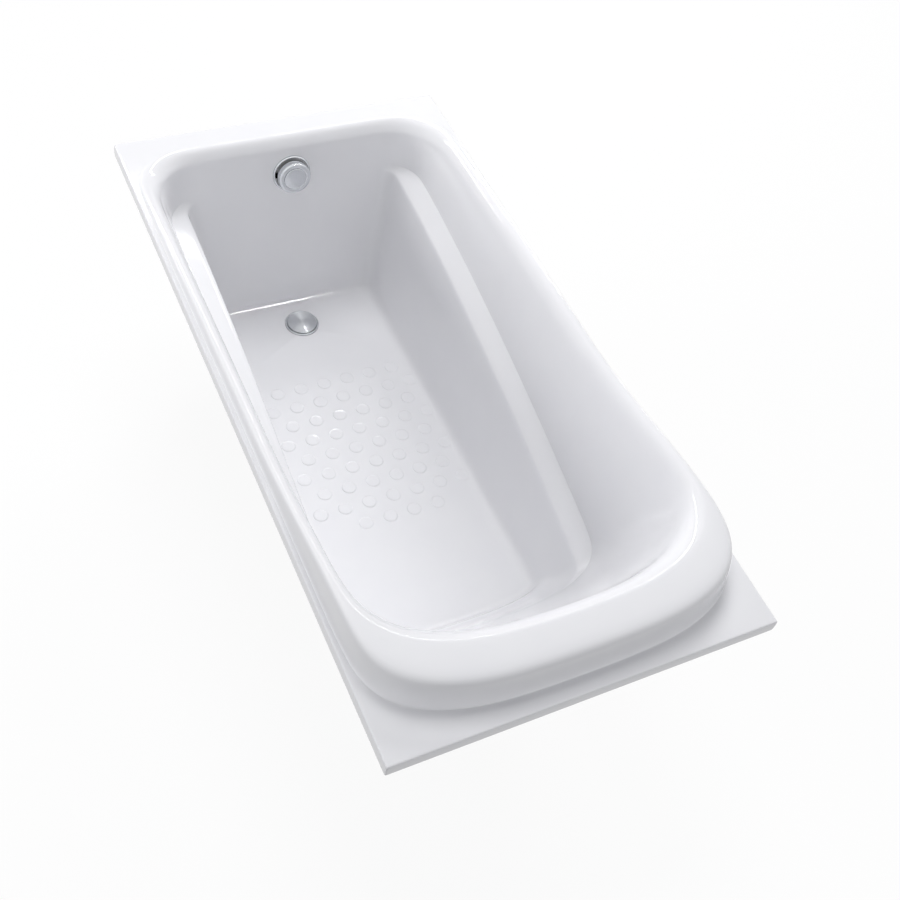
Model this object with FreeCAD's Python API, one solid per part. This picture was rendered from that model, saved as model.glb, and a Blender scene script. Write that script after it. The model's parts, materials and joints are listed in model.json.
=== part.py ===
import FreeCAD, Part
import math
import os

# Built-in bathtub with raised headrest, side ledges, pop-up drain and turning overflow knob.
# Millimetres. +X points to the head end, +Z up, and z = 0 is the floor that the feet stand on.

# Overall sizes
tub_length = 1500.0
tub_width = 750.0
well_depth = 450.0
shell_wall = 5.0

# Flange round the rim: its turned-down edge and its width at each end and side
flange_turn_down = 29.0
flange_edge_round = 2.0
flange_corner = 5.0
flange_foot = 48.0
flange_side = 9.0
flange_head = 32.0

# Raised lip: its width, and its crest, which climbs from the foot end into the headrest
lip_foot = 30.0
lip_side = 36.0
lip_head = 110.0
lip_low = 22.0
lip_rise = 50.5
lip_roll = 20.0
lip_ease = 150.0
lip_ramp_start = 860.0
lip_ramp_length = 420.0
rim_foot_corner = 122.0
rim_head_corner = 210.0

# Well: where its floor starts and ends, and how the end walls lean
floor_foot_inset = 143.0
floor_head_inset = 384.0
floor_half_width = 207.0
floor_round = 34.0
floor_fall = 0.010
foot_lean = 0.150
head_lean = 0.525
floor_foot_corner = 30.0
floor_head_corner = 44.0

# Ledge along both sides, which falls towards the head end
ledge_half_width = 251.0
ledge_width = 47.0
ledge_foot_depth = 119.0
ledge_head_depth = 326.0
ledge_back_height = 11.0
ledge_edge = 8.0
ledge_hollow = 22.0
ledge_foot_corner = 80.0
ledge_head_corner = 110.0

# Anti-slip dots on the floor
dot_radius = 17.0
dot_height = 1.5
dot_pitch = 57.6
dot_rows_start = 197.0
dot_field_shift = 10.0

# Drain in the floor
drain_setback = 219.0
drain_hole_radius = 27.0
drain_seat_depth = 3.0
drain_seat_play = 0.6
drain_flange_radius = 40.0
drain_flange_plate = 2.2
drain_bead_width = 3.0
drain_bead_height = 1.4
drain_tail_radius = 24.0
drain_tail_wall = 3.0
drain_tail_length = 24.0
drain_boss_margin = 6.0
spider_arm_width = 4.0
spider_arm_height = 4.0
spider_drop = 7.0
guide_radius = 7.0
guide_length = 14.0
seal_thickness = 1.5
lower_seal_thickness = 3.0

# Plug
plug_edge_gap = 1.6
plug_edge_height = 1.2
plug_dome = 4.6
plug_skirt = 2.0
plug_seal_width = 4.0
plug_seal_height = 2.0
plug_seal_inset = 3.5
stem_radius = 4.0
stem_length = 34.0
height_screw_radius = 2.0
height_screw_depth = 12.0
height_screw_head_radius = 3.6
height_screw_head = 4.0

# Waste body under the drain
waste_radius = 38.0
waste_wall = 4.0
waste_rim = 5.0
waste_neck_radius = 30.0
waste_neck_length = 14.0
waste_cup_height = 62.0
inlet_radius = 16.0
inlet_wall = 2.5
inlet_reach = 54.0
inlet_drop_below_cup_top = 25.0
outlet_radius = 20.0
outlet_wall = 3.0
outlet_reach = 58.0
cable_boss_radius = 7.0
cable_boss_reach = 48.0

# Lever that lifts the plug
lever_arm = 20.0
lever_hub_radius = 5.0
lever_thickness = 6.0
lever_over_reach = 5.0
lever_tail = 18.0
lever_gap = 0.5
lever_pin_radius = 2.0
lug_thickness = 4.0
lug_side_gap = 1.0
lug_reach = 6.0

# Overflow in the foot end wall
overflow_depth = 85.0
overflow_hole_radius = 30.0
overflow_plate_radius = 44.0
overflow_ring_width = 4.0
overflow_plate_thickness = 5.0
overflow_hub_radius = 12.0
overflow_arm_width = 12.0
overflow_gasket_thickness = 3.0
overflow_flange_width = 5.0
overflow_flange_thickness = 4.0
overflow_cup_wall = 3.5
overflow_cup_depth = 38.0
overflow_bush_radius = 9.0
overflow_bush_length = 12.0
overflow_pipe_set_back = 28.0
spout_reach = 64.0
screw_circle_radius = 26.0
screw_radius = 2.0
screw_head_radius = 3.8
screw_head_height = 2.2
screw_lug_thickness = 8.0
screw_lug_width = 10.0
screw_lug_set_back = 5.0

# Knob, spindle and cable drum
knob_radius = 37.5
knob_height = 15.0
knob_stand_off = 7.0
knob_wall = 3.0
knob_round = 3.0
knob_hub_radius = 9.0
cap_radius = 25.5
cap_thickness = 2.6
cap_proud = 1.0
cap_gap = 0.6
spindle_radius = 5.0
spindle_nose = 9.0
drum_thickness = 8.0
drum_side_gap = 5.0

# Overflow pipe, union nuts, trap and outlet pipe
nut_wall = 5.0
nut_length = 24.0
nut_flat_count = 12
leg_nut_flat_count = 6
trap_bend_radius = 30.0
trap_turn_radius = 26.0
trap_inlet_run = 8.0
trap_outlet_run = 14.0
trap_ground_gap = 8.0
outlet_pipe_end_inset = 45.0
outlet_spigot = 60.0
outlet_bead_height = 2.5
outlet_bead_width = 4.0

# Cable from the knob to the lever
cable_radius = 2.5
cable_spare = 6.0
cable_pipe_gap = 3.3
gland_radius = 5.5
gland_length = 14.0
gland_grip_length = 3.0

# Board and leg rails
board_thickness = 15.0
board_side_margin = 28.0
board_foot_inset = 330.0
board_head_inset = 450.0
rail_width = 40.0
rail_sheet = 2.5
rail_length = 420.0
rail_end_margin = 30.0
rail_inset = 70.0
wood_screw_radius = 2.5
wood_screw_head_radius = 5.0
wood_screw_head = 3.0
wood_screw_bite = 10.0
wood_screw_spread = 12.0
wood_screw_edge = 40.0

# Feet
stud_radius = 5.0
foot_travel = 40.0
stud_spare = 4.0
stud_head_room = 3.0
pad_radius = 24.0
pad_edge = 6.0
pad_height = 22.0
pad_neck_radius = 11.0
pad_floor = 6.0
leg_nut_height = 8.0
leg_nut_across = 17.0

# Clips that hold the rim to the walls
clip_sheet = 2.0
clip_length = 60.0
clip_drop = 42.0
clip_hook = 11.0
clip_hole_radius = 2.75
clip_hole_pitch = 36.0
clip_side_place = 420.0
clip_foot_place = 200.0

# Clearances
seat_gap = 0.3
running_gap = 0.08
thread_gap = 0.2
overrun = 5.0

# Counts and exponents that shape the rings of the shell
foot_points = 4
corner_points = 6
side_points = 9
head_points = 10
foot_roundness = 2.2
head_roundness = 2.7
lip_roundness = 3.1
square_roundness = 300.0
ledge_bow_power = 1.57
spider_arms = 3
gland_flat_count = 6
dot_counts = (6, 7, 6, 7, 6, 7, 6, 7, 4)

# Rings over the lip: share of its width at foot, side and head, share of the crest and of the roll's fall
lip_shares = (
    (0.00, 0.00, 0.00, 0.00, 0.00),
    (0.05, 0.04, 0.014, 0.03, 0.00),
    (0.10, 0.09, 0.036, 0.36, 0.00),
    (0.15, 0.15, 0.073, 0.81, 0.00),
    (0.20, 0.24, 0.135, 1.00, 0.00),
    (0.32, 0.42, 0.718, 1.00, 0.02),
    (0.61, 0.68, 0.784, 1.00, 0.19),
    (1.00, 1.00, 1.00, 1.00, 1.00),
)
# Rings of the upper wall, as shares of the way from lip to ledge at foot, side and head
upper_shares = (
    (0.10, 0.12, 0.19),
    (0.24, 0.42, 0.49),
    (0.70, 0.78, 0.87),
)
# Corners of the rings from the ledge down, at foot and head, as shares of the floor's corners
ledge_corner_shares = (1.30, 1.50)
drop_corner_shares = (1.20, 1.40)
middle_corner_shares = (1.15, 1.20)
# Rings at the floor: share of the round's rise, of its reach outwards and of the corner
floor_shares = (
    (1.00, 0.19, 1.10),
    (0.19, 0.00, 1.00),
    (0.00, -0.36, 0.94),
    (0.00, -0.75, 0.86),
)
flange_rest_share = 0.85
ledge_crease_share = 0.91
lip_low_start_share = 0.3
middle_share = 0.5
pipe_bend_share = 0.8
cable_bend_share = 0.38
round_corner_share = 0.3

vec = FreeCAD.Vector
x_axis = vec(1, 0, 0)
y_axis = vec(0, 1, 0)
z_axis = vec(0, 0, 1)

# Places that many pieces share
half_length = tub_length / 2
half_width = tub_width / 2
drain_x = drain_setback - half_length
outlet_over_cup_bottom = waste_wall + outlet_radius - outlet_wall
trap_height = trap_ground_gap + outlet_radius + trap_turn_radius + trap_bend_radius
under_well = (trap_height - outlet_over_cup_bottom + waste_cup_height + waste_neck_length
              + lower_seal_thickness + shell_wall + drain_seat_depth)
rim_height = under_well + well_depth
seat_z = rim_height - well_depth - drain_seat_depth
boss_bottom = seat_z - shell_wall
flange_seat_z = seat_z + seal_thickness
waste_top = boss_bottom - lower_seal_thickness
cup_top = waste_top - waste_neck_length
cup_bottom = cup_top - waste_cup_height
inlet_z = cup_top - inlet_drop_below_cup_top
outlet_z = cup_bottom + outlet_over_cup_bottom
lean_angle = math.atan(foot_lean)


def mix(a, b, share):
    """The value a share of the way from a to b."""
    return a + (b - a) * share


def ease(share):
    """Smooth step from 0 to 1."""
    held = min(max(share, 0.0), 1.0)
    return held * held * (3 - 2 * held)


def cylinder(radius, start, end):
    """Round bar from one point to another."""
    way = end - start
    return Part.makeCylinder(radius, way.Length, start, way)


def upright(radius, x, y, low, high):
    """Round bar along Z."""
    return cylinder(radius, vec(x, y, low), vec(x, y, high))


def block(x_low, x_high, y_low, y_high, z_low, z_high):
    """Box between two corners."""
    return Part.makeBox(x_high - x_low, y_high - y_low, z_high - z_low, vec(x_low, y_low, z_low))


def turned(points, x=0, y=0):
    """Solid of revolution about Z from (radius, height) points."""
    outline = [vec(r, 0, z) for r, z in points]
    face = Part.Face(Part.makePolygon(outline + outline[:1]))
    solid = face.revolve(vec(), z_axis, 360)
    solid.translate(vec(x, y, 0))
    return solid


def drawn(points, direction):
    """Prism from a closed outline of points."""
    return Part.Face(Part.makePolygon(points + points[:1])).extrude(direction)


def prism(flats, across, start, end):
    """Bar with flat sides, as wide across as given, about the line between two points."""
    reach = across / 2 / math.cos(math.pi / flats)
    corners = [vec(reach * math.cos(2 * math.pi * k / flats), reach * math.sin(2 * math.pi * k / flats), 0)
               for k in range(flats)]
    way = end - start
    bar = drawn(corners, vec(0, 0, way.Length))
    bar.Placement = FreeCAD.Placement(start, FreeCAD.Rotation(z_axis, way))
    return bar


def union_nut(bore, start, end):
    """Many-sided union nut round a pipe."""
    body = prism(nut_flat_count, 2 * (bore + nut_wall), start, end)
    return body.cut(cylinder(bore + seat_gap, start, end))


def joined(shapes):
    """One solid from several that overlap."""
    first = shapes[0]
    return first.fuse(shapes[1:]).removeSplitter()


# Shell: closed rings of poles from the flange's edge to the floor


def crest(x):
    """Height of the lip's crest over the flange, by place along the tub."""
    along = x + half_length
    lifted = ease((along - flange_foot) / lip_ease)
    low = lip_low * mix(lip_low_start_share, 1.0, ease(along / lip_ramp_start)) * lifted
    return low + lip_rise * ease((along - lip_ramp_start) / lip_ramp_length)


def floor_z(x):
    """Height of the floor, which falls to the drain."""
    return rim_height - well_depth + floor_fall * (x - drain_x)


def floor_under(x):
    """Height of the floor's underside."""
    return floor_z(x) - shell_wall * math.hypot(1, floor_fall)


def foot_wall_x(depth):
    """Face of the foot end wall at a depth under the flange."""
    return floor_foot_inset - half_length - foot_lean * (well_depth - depth)


def head_wall_x(depth):
    """Face of the backrest at a depth under the flange."""
    return half_length - floor_head_inset + head_lean * (well_depth - depth)


def round_share(value, roundness):
    """Sine or cosine bent into a squarer curve."""
    return max(value, 0.0) ** (2 / roundness)


def half_ring(foot_x, head_x, half, foot_corner, foot_power, head_corner, head_power):
    """Points from the foot end's middle round the +Y side to the head end's middle."""
    points = []
    for k in range(foot_points):
        points.append((foot_x, (half - foot_corner) * k / foot_points))
    for k in range(corner_points):
        turn = math.pi / 2 * k / corner_points
        points.append((foot_x + foot_corner * (1 - round_share(math.cos(turn), foot_power)),
                       half - foot_corner * (1 - round_share(math.sin(turn), foot_power))))
    for k in range(side_points):
        points.append((mix(foot_x + foot_corner, head_x - head_corner, k / side_points), half))
    for k in range(head_points):
        turn = math.pi / 2 * k / (head_points - 1)
        across = half * round_share(math.cos(turn), head_power) if k < head_points - 1 else 0
        points.append((head_x - head_corner * (1 - round_share(math.sin(turn), head_power)), across))
    return points


def whole_ring(half, height):
    """Ring of poles on both sides of the tub, with a height for each point."""
    right = [vec(x, y, height(x)) for x, y in half]
    left = [vec(p.x, -p.y, p.z) for p in reversed(right[1:-1])]
    return right + left


def flange_ring(inset, depth):
    """Ring with square corners, a distance in from the flange's edge."""
    half = half_ring(inset - half_length, half_length - inset, half_width - inset, flange_corner,
                     2, half_width - inset, square_roundness)
    return whole_ring(half, lambda x: rim_height - depth)


def between(ring_a, ring_b, share):
    """Ring a share of the way between two others."""
    return [a + (b - a) * share for a, b in zip(ring_a, ring_b)]


def lip_ring(foot, side, head, rise, fall):
    """Ring over the lip."""
    foot_x = flange_foot + lip_foot * foot - half_length
    head_x = half_length - flange_head - lip_head * head
    half_wide = half_width - flange_side - lip_side * side
    roundness = mix(lip_roundness, head_roundness, head)
    half = half_ring(foot_x, head_x, half_wide, rim_foot_corner, foot_roundness, rim_head_corner, roundness)
    return whole_ring(half, lambda x: rim_height + rise * crest(x) - fall * lip_roll)


def wall_ring(foot_depth, head_depth, half_wide, foot_corner, head_corner):
    """Ring on the walls of the well, which falls from foot to head as the ledge does."""
    foot_x = foot_wall_x(foot_depth)
    head_x = head_wall_x(head_depth)

    def height(x):
        share = min(max((x - foot_x) / (head_x - foot_x), 0.0), 1.0)
        return rim_height - mix(foot_depth, head_depth, share ** ledge_bow_power)

    half = half_ring(foot_x, head_x, half_wide, foot_corner, foot_roundness, head_corner, head_roundness)
    return whole_ring(half, height)


def floor_corners(shares):
    """Corner sizes at foot and head, as shares of the floor's."""
    return floor_foot_corner * shares[0], floor_head_corner * shares[1]


def floor_ring(rise, out, corner):
    """Ring at the floor's rounded edge."""
    inset = floor_foot_inset - floor_round * out
    half = half_ring(inset - half_length, half_length - floor_head_inset + floor_round * out,
                     floor_half_width + floor_round * out, floor_foot_corner * corner, foot_roundness,
                     floor_head_corner * corner, head_roundness)
    return whole_ring(half, lambda x: floor_z(x) + floor_round * rise)


def flange_rings(under):
    """Rings of the flange's edge, for its upper side or for its underside."""
    step = flange_edge_round
    if under:
        insets = (shell_wall, shell_wall, shell_wall, shell_wall + step / 2, shell_wall + step)
        depths = (flange_turn_down, flange_turn_down / 2, shell_wall + step, shell_wall + step / 4,
                  shell_wall)
    else:
        insets = (0, 0, 0, step, shell_wall + step)
        depths = (flange_turn_down, flange_turn_down / 2, step, 0, 0)
    return [flange_ring(inset, depth) for inset, depth in zip(insets, depths)]


def basin_rings():
    """Rings from the lip's foot over the lip and down the walls to the floor, upper side."""
    rings = [lip_ring(*shares) for shares in lip_shares]
    rim_half = half_width - flange_side - lip_side
    ledge_half = ledge_half_width + ledge_width
    foot_top = lip_roll
    foot_ledge = ledge_foot_depth - ledge_back_height
    head_top = lip_roll - lip_low - lip_rise
    head_ledge = ledge_head_depth - ledge_back_height
    for foot, side, head in upper_shares:
        foot_depth = mix(foot_top, foot_ledge - ledge_hollow / 2, foot)
        head_depth = mix(head_top, head_ledge, head)
        foot_corner = mix(rim_foot_corner, ledge_foot_corner, side)
        head_corner = mix(rim_head_corner, ledge_head_corner, side)
        half_wide = mix(rim_half, ledge_half, side)
        rings.append(wall_ring(foot_depth, head_depth, half_wide, foot_corner, head_corner))
    back = wall_ring(foot_ledge, head_ledge, ledge_half, ledge_foot_corner, ledge_head_corner)
    front = wall_ring(ledge_foot_depth, ledge_head_depth, ledge_half_width + ledge_edge / 3,
                      *floor_corners(ledge_corner_shares))
    rings.append(between(rings[-1], back, ledge_crease_share))
    rings += [back, between(front, back, ledge_crease_share), front]
    rings.append(wall_ring(ledge_foot_depth + ledge_edge, ledge_head_depth + ledge_edge,
                           ledge_half_width - ledge_edge / 3, *floor_corners(drop_corner_shares)))
    rings.append(wall_ring(mix(ledge_foot_depth, well_depth, middle_share),
                           mix(ledge_head_depth, well_depth, middle_share),
                           mix(ledge_half_width, floor_half_width, middle_share),
                           *floor_corners(middle_corner_shares)))
    rings += [floor_ring(*shares) for shares in floor_shares]
    return rings


def set_in(rings, outside, depth):
    """Rings moved into the material by a depth, square to the surface they span."""
    around = len(rings[0])
    grid = [outside] + rings + [rings[-1]]
    moved = []
    for j in range(1, len(grid) - 1):
        ring = []
        for k in range(around):
            along = grid[j][(k + 1) % around] - grid[j][k - 1]
            down = grid[j + 1][k] - grid[j - 1][k]
            square = along.cross(down).normalize()
            ring.append(grid[j][k] + square * depth)
        moved.append(ring)
    return moved


def surface(rings):
    """Smooth surface that the rings of poles span, closed round the tub."""
    around = len(rings[0])
    down = len(rings)
    poles = [[ring[k] for ring in rings] for k in range(around)]
    spline = Part.BSplineSurface()
    spline.buildFromPolesMultsKnots(poles, [1] * (around + 1), [4] + [1] * (down - 4) + [4],
                                    list(range(around + 1)), list(range(down - 2)), True, False, 3, 3)
    return spline.toShape()


def loops(face):
    """Outer and inner closed edge of a ring-like face."""
    closed = sorted((edge for edge in face.Edges if edge.isClosed()), key=lambda edge: edge.Length)
    return Part.Wire([closed[-1]]), Part.Wire([closed[0]])


def moulding():
    """The shell without holes or dots: upper side, underside, edge strip and floor."""
    basin = basin_rings()
    upper_flange = flange_rings(False)
    under_flange = flange_rings(True)
    rest = between(upper_flange[-1], basin[0], flange_rest_share)
    under = set_in([rest] + basin, upper_flange[-1], shell_wall)
    upper = surface(upper_flange + [rest] + basin)
    lower = surface(under_flange + under)
    upper_edge, upper_floor = loops(upper)
    lower_edge, lower_floor = loops(lower)
    strip = Part.makeFace([upper_edge, lower_edge], "Part::FaceMakerBullseye")
    shell = Part.Shell([upper, lower, strip, Part.Face(upper_floor), Part.Face(lower_floor)])
    shell.sewShape()
    solid = Part.Solid(shell)
    if solid.Volume < 0:
        solid.reverse()
    return solid


def floor_dots():
    """Round anti-slip dots in staggered rows between the drain and the middle of the floor."""
    dots = []
    tilt = FreeCAD.Rotation(y_axis, -math.degrees(math.atan(floor_fall)))
    row_pitch = dot_pitch * math.sin(math.pi / 3)
    for row, count in enumerate(dot_counts):
        x = drain_x + dot_rows_start + row * row_pitch
        for k in range(count):
            y = dot_field_shift + (k - (count - 1) / 2) * dot_pitch
            dot = Part.makeCone(dot_radius, dot_radius - dot_height, shell_wall / 2 + dot_height)
            dot.Placement = FreeCAD.Placement(vec(x, y, floor_z(x) - shell_wall / 2), tilt)
            dots.append(dot)
    return dots


# Overflow frame: origin on the wall's face, Z square to it, X down the wall


overflow_z = rim_height - overflow_depth
overflow_place = FreeCAD.Placement(vec(foot_wall_x(overflow_depth), 0, overflow_z),
                                   FreeCAD.Rotation(y_axis, 90 - math.degrees(lean_angle)))
housing_front = -shell_wall - overflow_gasket_thickness
housing_back = housing_front - overflow_cup_depth
spout_w = -overflow_pipe_set_back
nut_reach = (inlet_radius + nut_wall) / math.cos(math.pi / nut_flat_count)
drum_radius = nut_reach + cable_radius + cable_pipe_gap
overflow_cup_radius = drum_radius + drum_side_gap + overflow_cup_wall
overflow_flange_radius = overflow_cup_radius + overflow_flange_width
plate_front = seat_gap + overflow_plate_thickness
knob_back = plate_front + knob_stand_off
knob_front = knob_back + knob_height
drum_back = housing_back + overflow_cup_wall + overflow_bush_length + seat_gap
cable_w = drum_back + drum_thickness / 2


def at_overflow(shape):
    """Shape from the overflow's own frame to the tub's."""
    shape.Placement = overflow_place.multiply(shape.Placement)
    return shape


def tub_shell():
    """Moulded shell with the drain seat, the holes and the dots."""
    solid = moulding()
    boss_radius = drain_flange_radius + drain_boss_margin
    boss = upright(boss_radius, drain_x, 0, boss_bottom, seat_z + drain_seat_depth / 2)
    solid = solid.fuse([boss] + floor_dots())
    seat_radius = drain_flange_radius + drain_seat_play
    seat = upright(seat_radius, drain_x, 0, seat_z, seat_z + drain_seat_depth + overrun)
    hole = upright(drain_hole_radius, drain_x, 0, boss_bottom - overrun, seat_z + overrun)
    overflow_hole = at_overflow(upright(overflow_hole_radius, 0, 0, -shell_wall - overrun, overrun))
    return solid.cut([seat, hole, overflow_hole])


# Drain and plug


def drain_flange():
    """Flange with a raised bead, a tail through the shell and a spider that guides the plug."""
    top = flange_seat_z + drain_flange_plate
    bead = top + drain_bead_height
    bore = drain_tail_radius - drain_tail_wall
    tail_end = flange_seat_z - drain_tail_length
    bead_inner = drain_flange_radius - drain_bead_width
    ring = turned([(bore, tail_end), (drain_tail_radius, tail_end), (drain_tail_radius, flange_seat_z),
                   (drain_flange_radius, flange_seat_z),
                   (drain_flange_radius, bead - drain_bead_height / 2),
                   (drain_flange_radius - drain_bead_width / 3, bead), (bead_inner, bead), (bead_inner, top),
                   (bore, top)], drain_x)
    spider_top = flange_seat_z - spider_drop
    guide = upright(guide_radius, drain_x, 0, spider_top - guide_length, spider_top)
    arms = []
    for k in range(spider_arms):
        arm = block(0, bore + drain_tail_wall / 2, -spider_arm_width / 2, spider_arm_width / 2,
                    spider_top - spider_arm_height, spider_top)
        arm.rotate(vec(), z_axis, 360 * k / spider_arms)
        arm.translate(vec(drain_x, 0, 0))
        arms.append(arm)
    stem_bore = upright(stem_radius + running_gap, drain_x, 0, spider_top - guide_length - overrun,
                        spider_top + overrun)
    return joined([ring, guide] + arms).cut(stem_bore)


plug_radius = drain_flange_radius - drain_bead_width - plug_edge_gap
plug_seal_low = flange_seat_z + drain_flange_plate + seat_gap
plug_under = plug_seal_low + plug_seal_height
stem_end = plug_under - stem_length
screw_head_end = stem_end - height_screw_head


def plug_cap():
    """Domed cap with a short skirt."""
    skirt_end = plug_seal_low + plug_edge_height
    edge_top = plug_under + plug_edge_height
    dome_radius = (plug_radius ** 2 + plug_dome ** 2) / (2 * plug_dome)
    side = vec(plug_radius, 0, edge_top)
    top = vec(0, 0, edge_top + plug_dome)
    half_way = math.asin(plug_radius / dome_radius) / 2
    middle = vec(dome_radius * math.sin(half_way), 0, top.z - dome_radius * (1 - math.cos(half_way)))
    corners = [top, vec(0, 0, plug_under), vec(plug_radius - plug_skirt, 0, plug_under),
               vec(plug_radius - plug_skirt, 0, skirt_end), vec(plug_radius, 0, skirt_end), side]
    edges = [Part.LineSegment(a, b).toShape() for a, b in zip(corners, corners[1:])]
    edges.append(Part.Arc(side, middle, top).toShape())
    cap = Part.Face(Part.Wire(edges)).revolve(vec(), z_axis, 360)
    cap.translate(vec(drain_x, 0, 0))
    return cap


def flat_ring(outer, inner, low, high):
    """Washer about the drain's axis."""
    return upright(outer, drain_x, 0, low, high).cut(upright(inner, drain_x, 0, low, high))


def plug_seal():
    """Rubber ring under the cap."""
    outer = plug_radius - plug_skirt - plug_seal_inset
    return flat_ring(outer, outer - plug_seal_width, plug_seal_low, plug_under)


def plug_stem():
    """Stem that slides in the spider's guide, bored for the height screw."""
    bore = upright(height_screw_radius + running_gap, drain_x, 0, stem_end, stem_end + height_screw_depth)
    return upright(stem_radius, drain_x, 0, stem_end, plug_under).cut(bore)


def plug_height_screw():
    """Screw in the stem's end that sets how high the plug stands."""
    return joined([upright(height_screw_radius, drain_x, 0, stem_end - height_screw_head / 2,
                           stem_end + height_screw_depth - seat_gap),
                   upright(height_screw_head_radius, drain_x, 0, screw_head_end, stem_end)])


# Waste body and lever


lever_pin_y = -lever_arm
lever_pin_z = screw_head_end - lever_gap - lever_hub_radius
cable_z = lever_pin_z - lever_tail


def waste_body():
    """Cup under the drain with its overflow inlet, outlet, cable boss and lever lugs."""
    neck_bore = drain_tail_radius + thread_gap
    inner = waste_radius - waste_wall
    cup = turned([(neck_bore, waste_top), (waste_radius, waste_top), (waste_radius, waste_top - waste_rim),
                  (waste_neck_radius, waste_top - waste_rim), (waste_neck_radius, cup_top),
                  (waste_radius, cup_top), (waste_radius, cup_bottom), (0, cup_bottom),
                  (0, cup_bottom + waste_wall), (inner, cup_bottom + waste_wall),
                  (inner, cup_top - waste_wall), (neck_bore, cup_top - waste_wall)], drain_x)
    wall_middle = waste_radius - waste_wall / 2
    inlet = cylinder(inlet_radius, vec(drain_x - wall_middle, 0, inlet_z),
                     vec(drain_x - inlet_reach, 0, inlet_z))
    inlet_bore = cylinder(inlet_radius - inlet_wall, vec(drain_x, 0, inlet_z),
                          vec(drain_x - inlet_reach - overrun, 0, inlet_z))
    outlet = cylinder(outlet_radius, vec(drain_x, wall_middle, outlet_z),
                      vec(drain_x, outlet_reach, outlet_z))
    outlet_bore = cylinder(outlet_radius - outlet_wall, vec(drain_x, 0, outlet_z),
                           vec(drain_x, outlet_reach + overrun, outlet_z))
    boss = cylinder(cable_boss_radius, vec(drain_x, -wall_middle, cable_z),
                    vec(drain_x, -cable_boss_reach, cable_z))
    boss_bore = cylinder(cable_radius + thread_gap, vec(drain_x, 0, cable_z),
                         vec(drain_x, -cable_boss_reach - overrun, cable_z))
    inside = upright(inner, drain_x, 0, cup_bottom + waste_wall, cup_top - waste_wall)
    hollow = joined([inlet_bore, outlet_bore]).fuse(boss_bore)
    body = joined([cup, inlet, outlet, boss]).cut(hollow)
    lug_start = lever_thickness / 2 + lug_side_gap
    lugs = [block(drain_x + low, drain_x + low + lug_thickness, -waste_radius, lever_pin_y + lug_reach,
                  lever_pin_z - lug_reach, lever_pin_z + lug_reach)
            for low in (lug_start, -lug_start - lug_thickness)]
    held = [lug.common(inside.fuse(cup)) for lug in lugs]
    pin_bore = cylinder(lever_pin_radius + running_gap, vec(drain_x - inner, lever_pin_y, lever_pin_z),
                        vec(drain_x + inner, lever_pin_y, lever_pin_z))
    return body.fuse(held).cut(pin_bore.common(inside)).removeSplitter()


def lever_pin():
    """Pin through both lugs and the lever."""
    reach = lever_thickness / 2 + lug_side_gap + lug_thickness
    return cylinder(lever_pin_radius, vec(drain_x - reach, lever_pin_y, lever_pin_z),
                    vec(drain_x + reach, lever_pin_y, lever_pin_z))


def lift_lever():
    """Rocker: one arm under the plug's stem, one down to the cable."""
    low_x = drain_x - lever_thickness / 2
    high_x = drain_x + lever_thickness / 2
    hub = cylinder(lever_hub_radius, vec(low_x, lever_pin_y, lever_pin_z),
                   vec(high_x, lever_pin_y, lever_pin_z))
    arm = block(low_x, high_x, lever_pin_y, lever_over_reach, lever_pin_z, lever_pin_z + lever_hub_radius)
    tail = block(low_x, high_x, lever_pin_y - lever_hub_radius / 2, lever_pin_y + lever_hub_radius / 2,
                 lever_pin_z - lever_tail, lever_pin_z)
    bore = cylinder(lever_pin_radius + running_gap, vec(low_x - overrun, lever_pin_y, lever_pin_z),
                    vec(high_x + overrun, lever_pin_y, lever_pin_z))
    return joined([hub, arm, tail]).cut(bore)


# Overflow pieces, each built in the overflow's own frame


def overflow_plate():
    """Ring on the wall with three arms to a hub, open between them for the water."""
    ring_inner = overflow_plate_radius - overflow_ring_width
    rim = overflow_plate_thickness / 3
    ring = turned([(ring_inner, seat_gap), (overflow_plate_radius, seat_gap),
                   (overflow_plate_radius, plate_front - rim), (overflow_plate_radius - rim, plate_front),
                   (ring_inner, plate_front)])
    hub = upright(overflow_hub_radius, 0, 0, seat_gap, plate_front)
    arm_half = overflow_arm_width / 2
    arm_reach = ring_inner + rim
    arm_top = plate_front - rim
    bars = [block(-arm_half, arm_half, -arm_reach, arm_reach, seat_gap, arm_top),
            block(0, arm_reach, -arm_half, arm_half, seat_gap, arm_top)]
    high = plate_front + overrun
    holes = [upright(spindle_radius + running_gap, 0, 0, -overrun, high)]
    for side in (-1, 1):
        holes.append(upright(screw_radius + thread_gap, 0, side * screw_circle_radius, -overrun, high))
    return at_overflow(joined([ring, hub] + bars).cut(holes))


def overflow_gasket():
    """Rubber ring between the wall and the housing."""
    outer = upright(overflow_flange_radius, 0, 0, housing_front, -shell_wall - seat_gap)
    return at_overflow(outer.cut(upright(overflow_hole_radius, 0, 0, housing_front, -shell_wall)))


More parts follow.
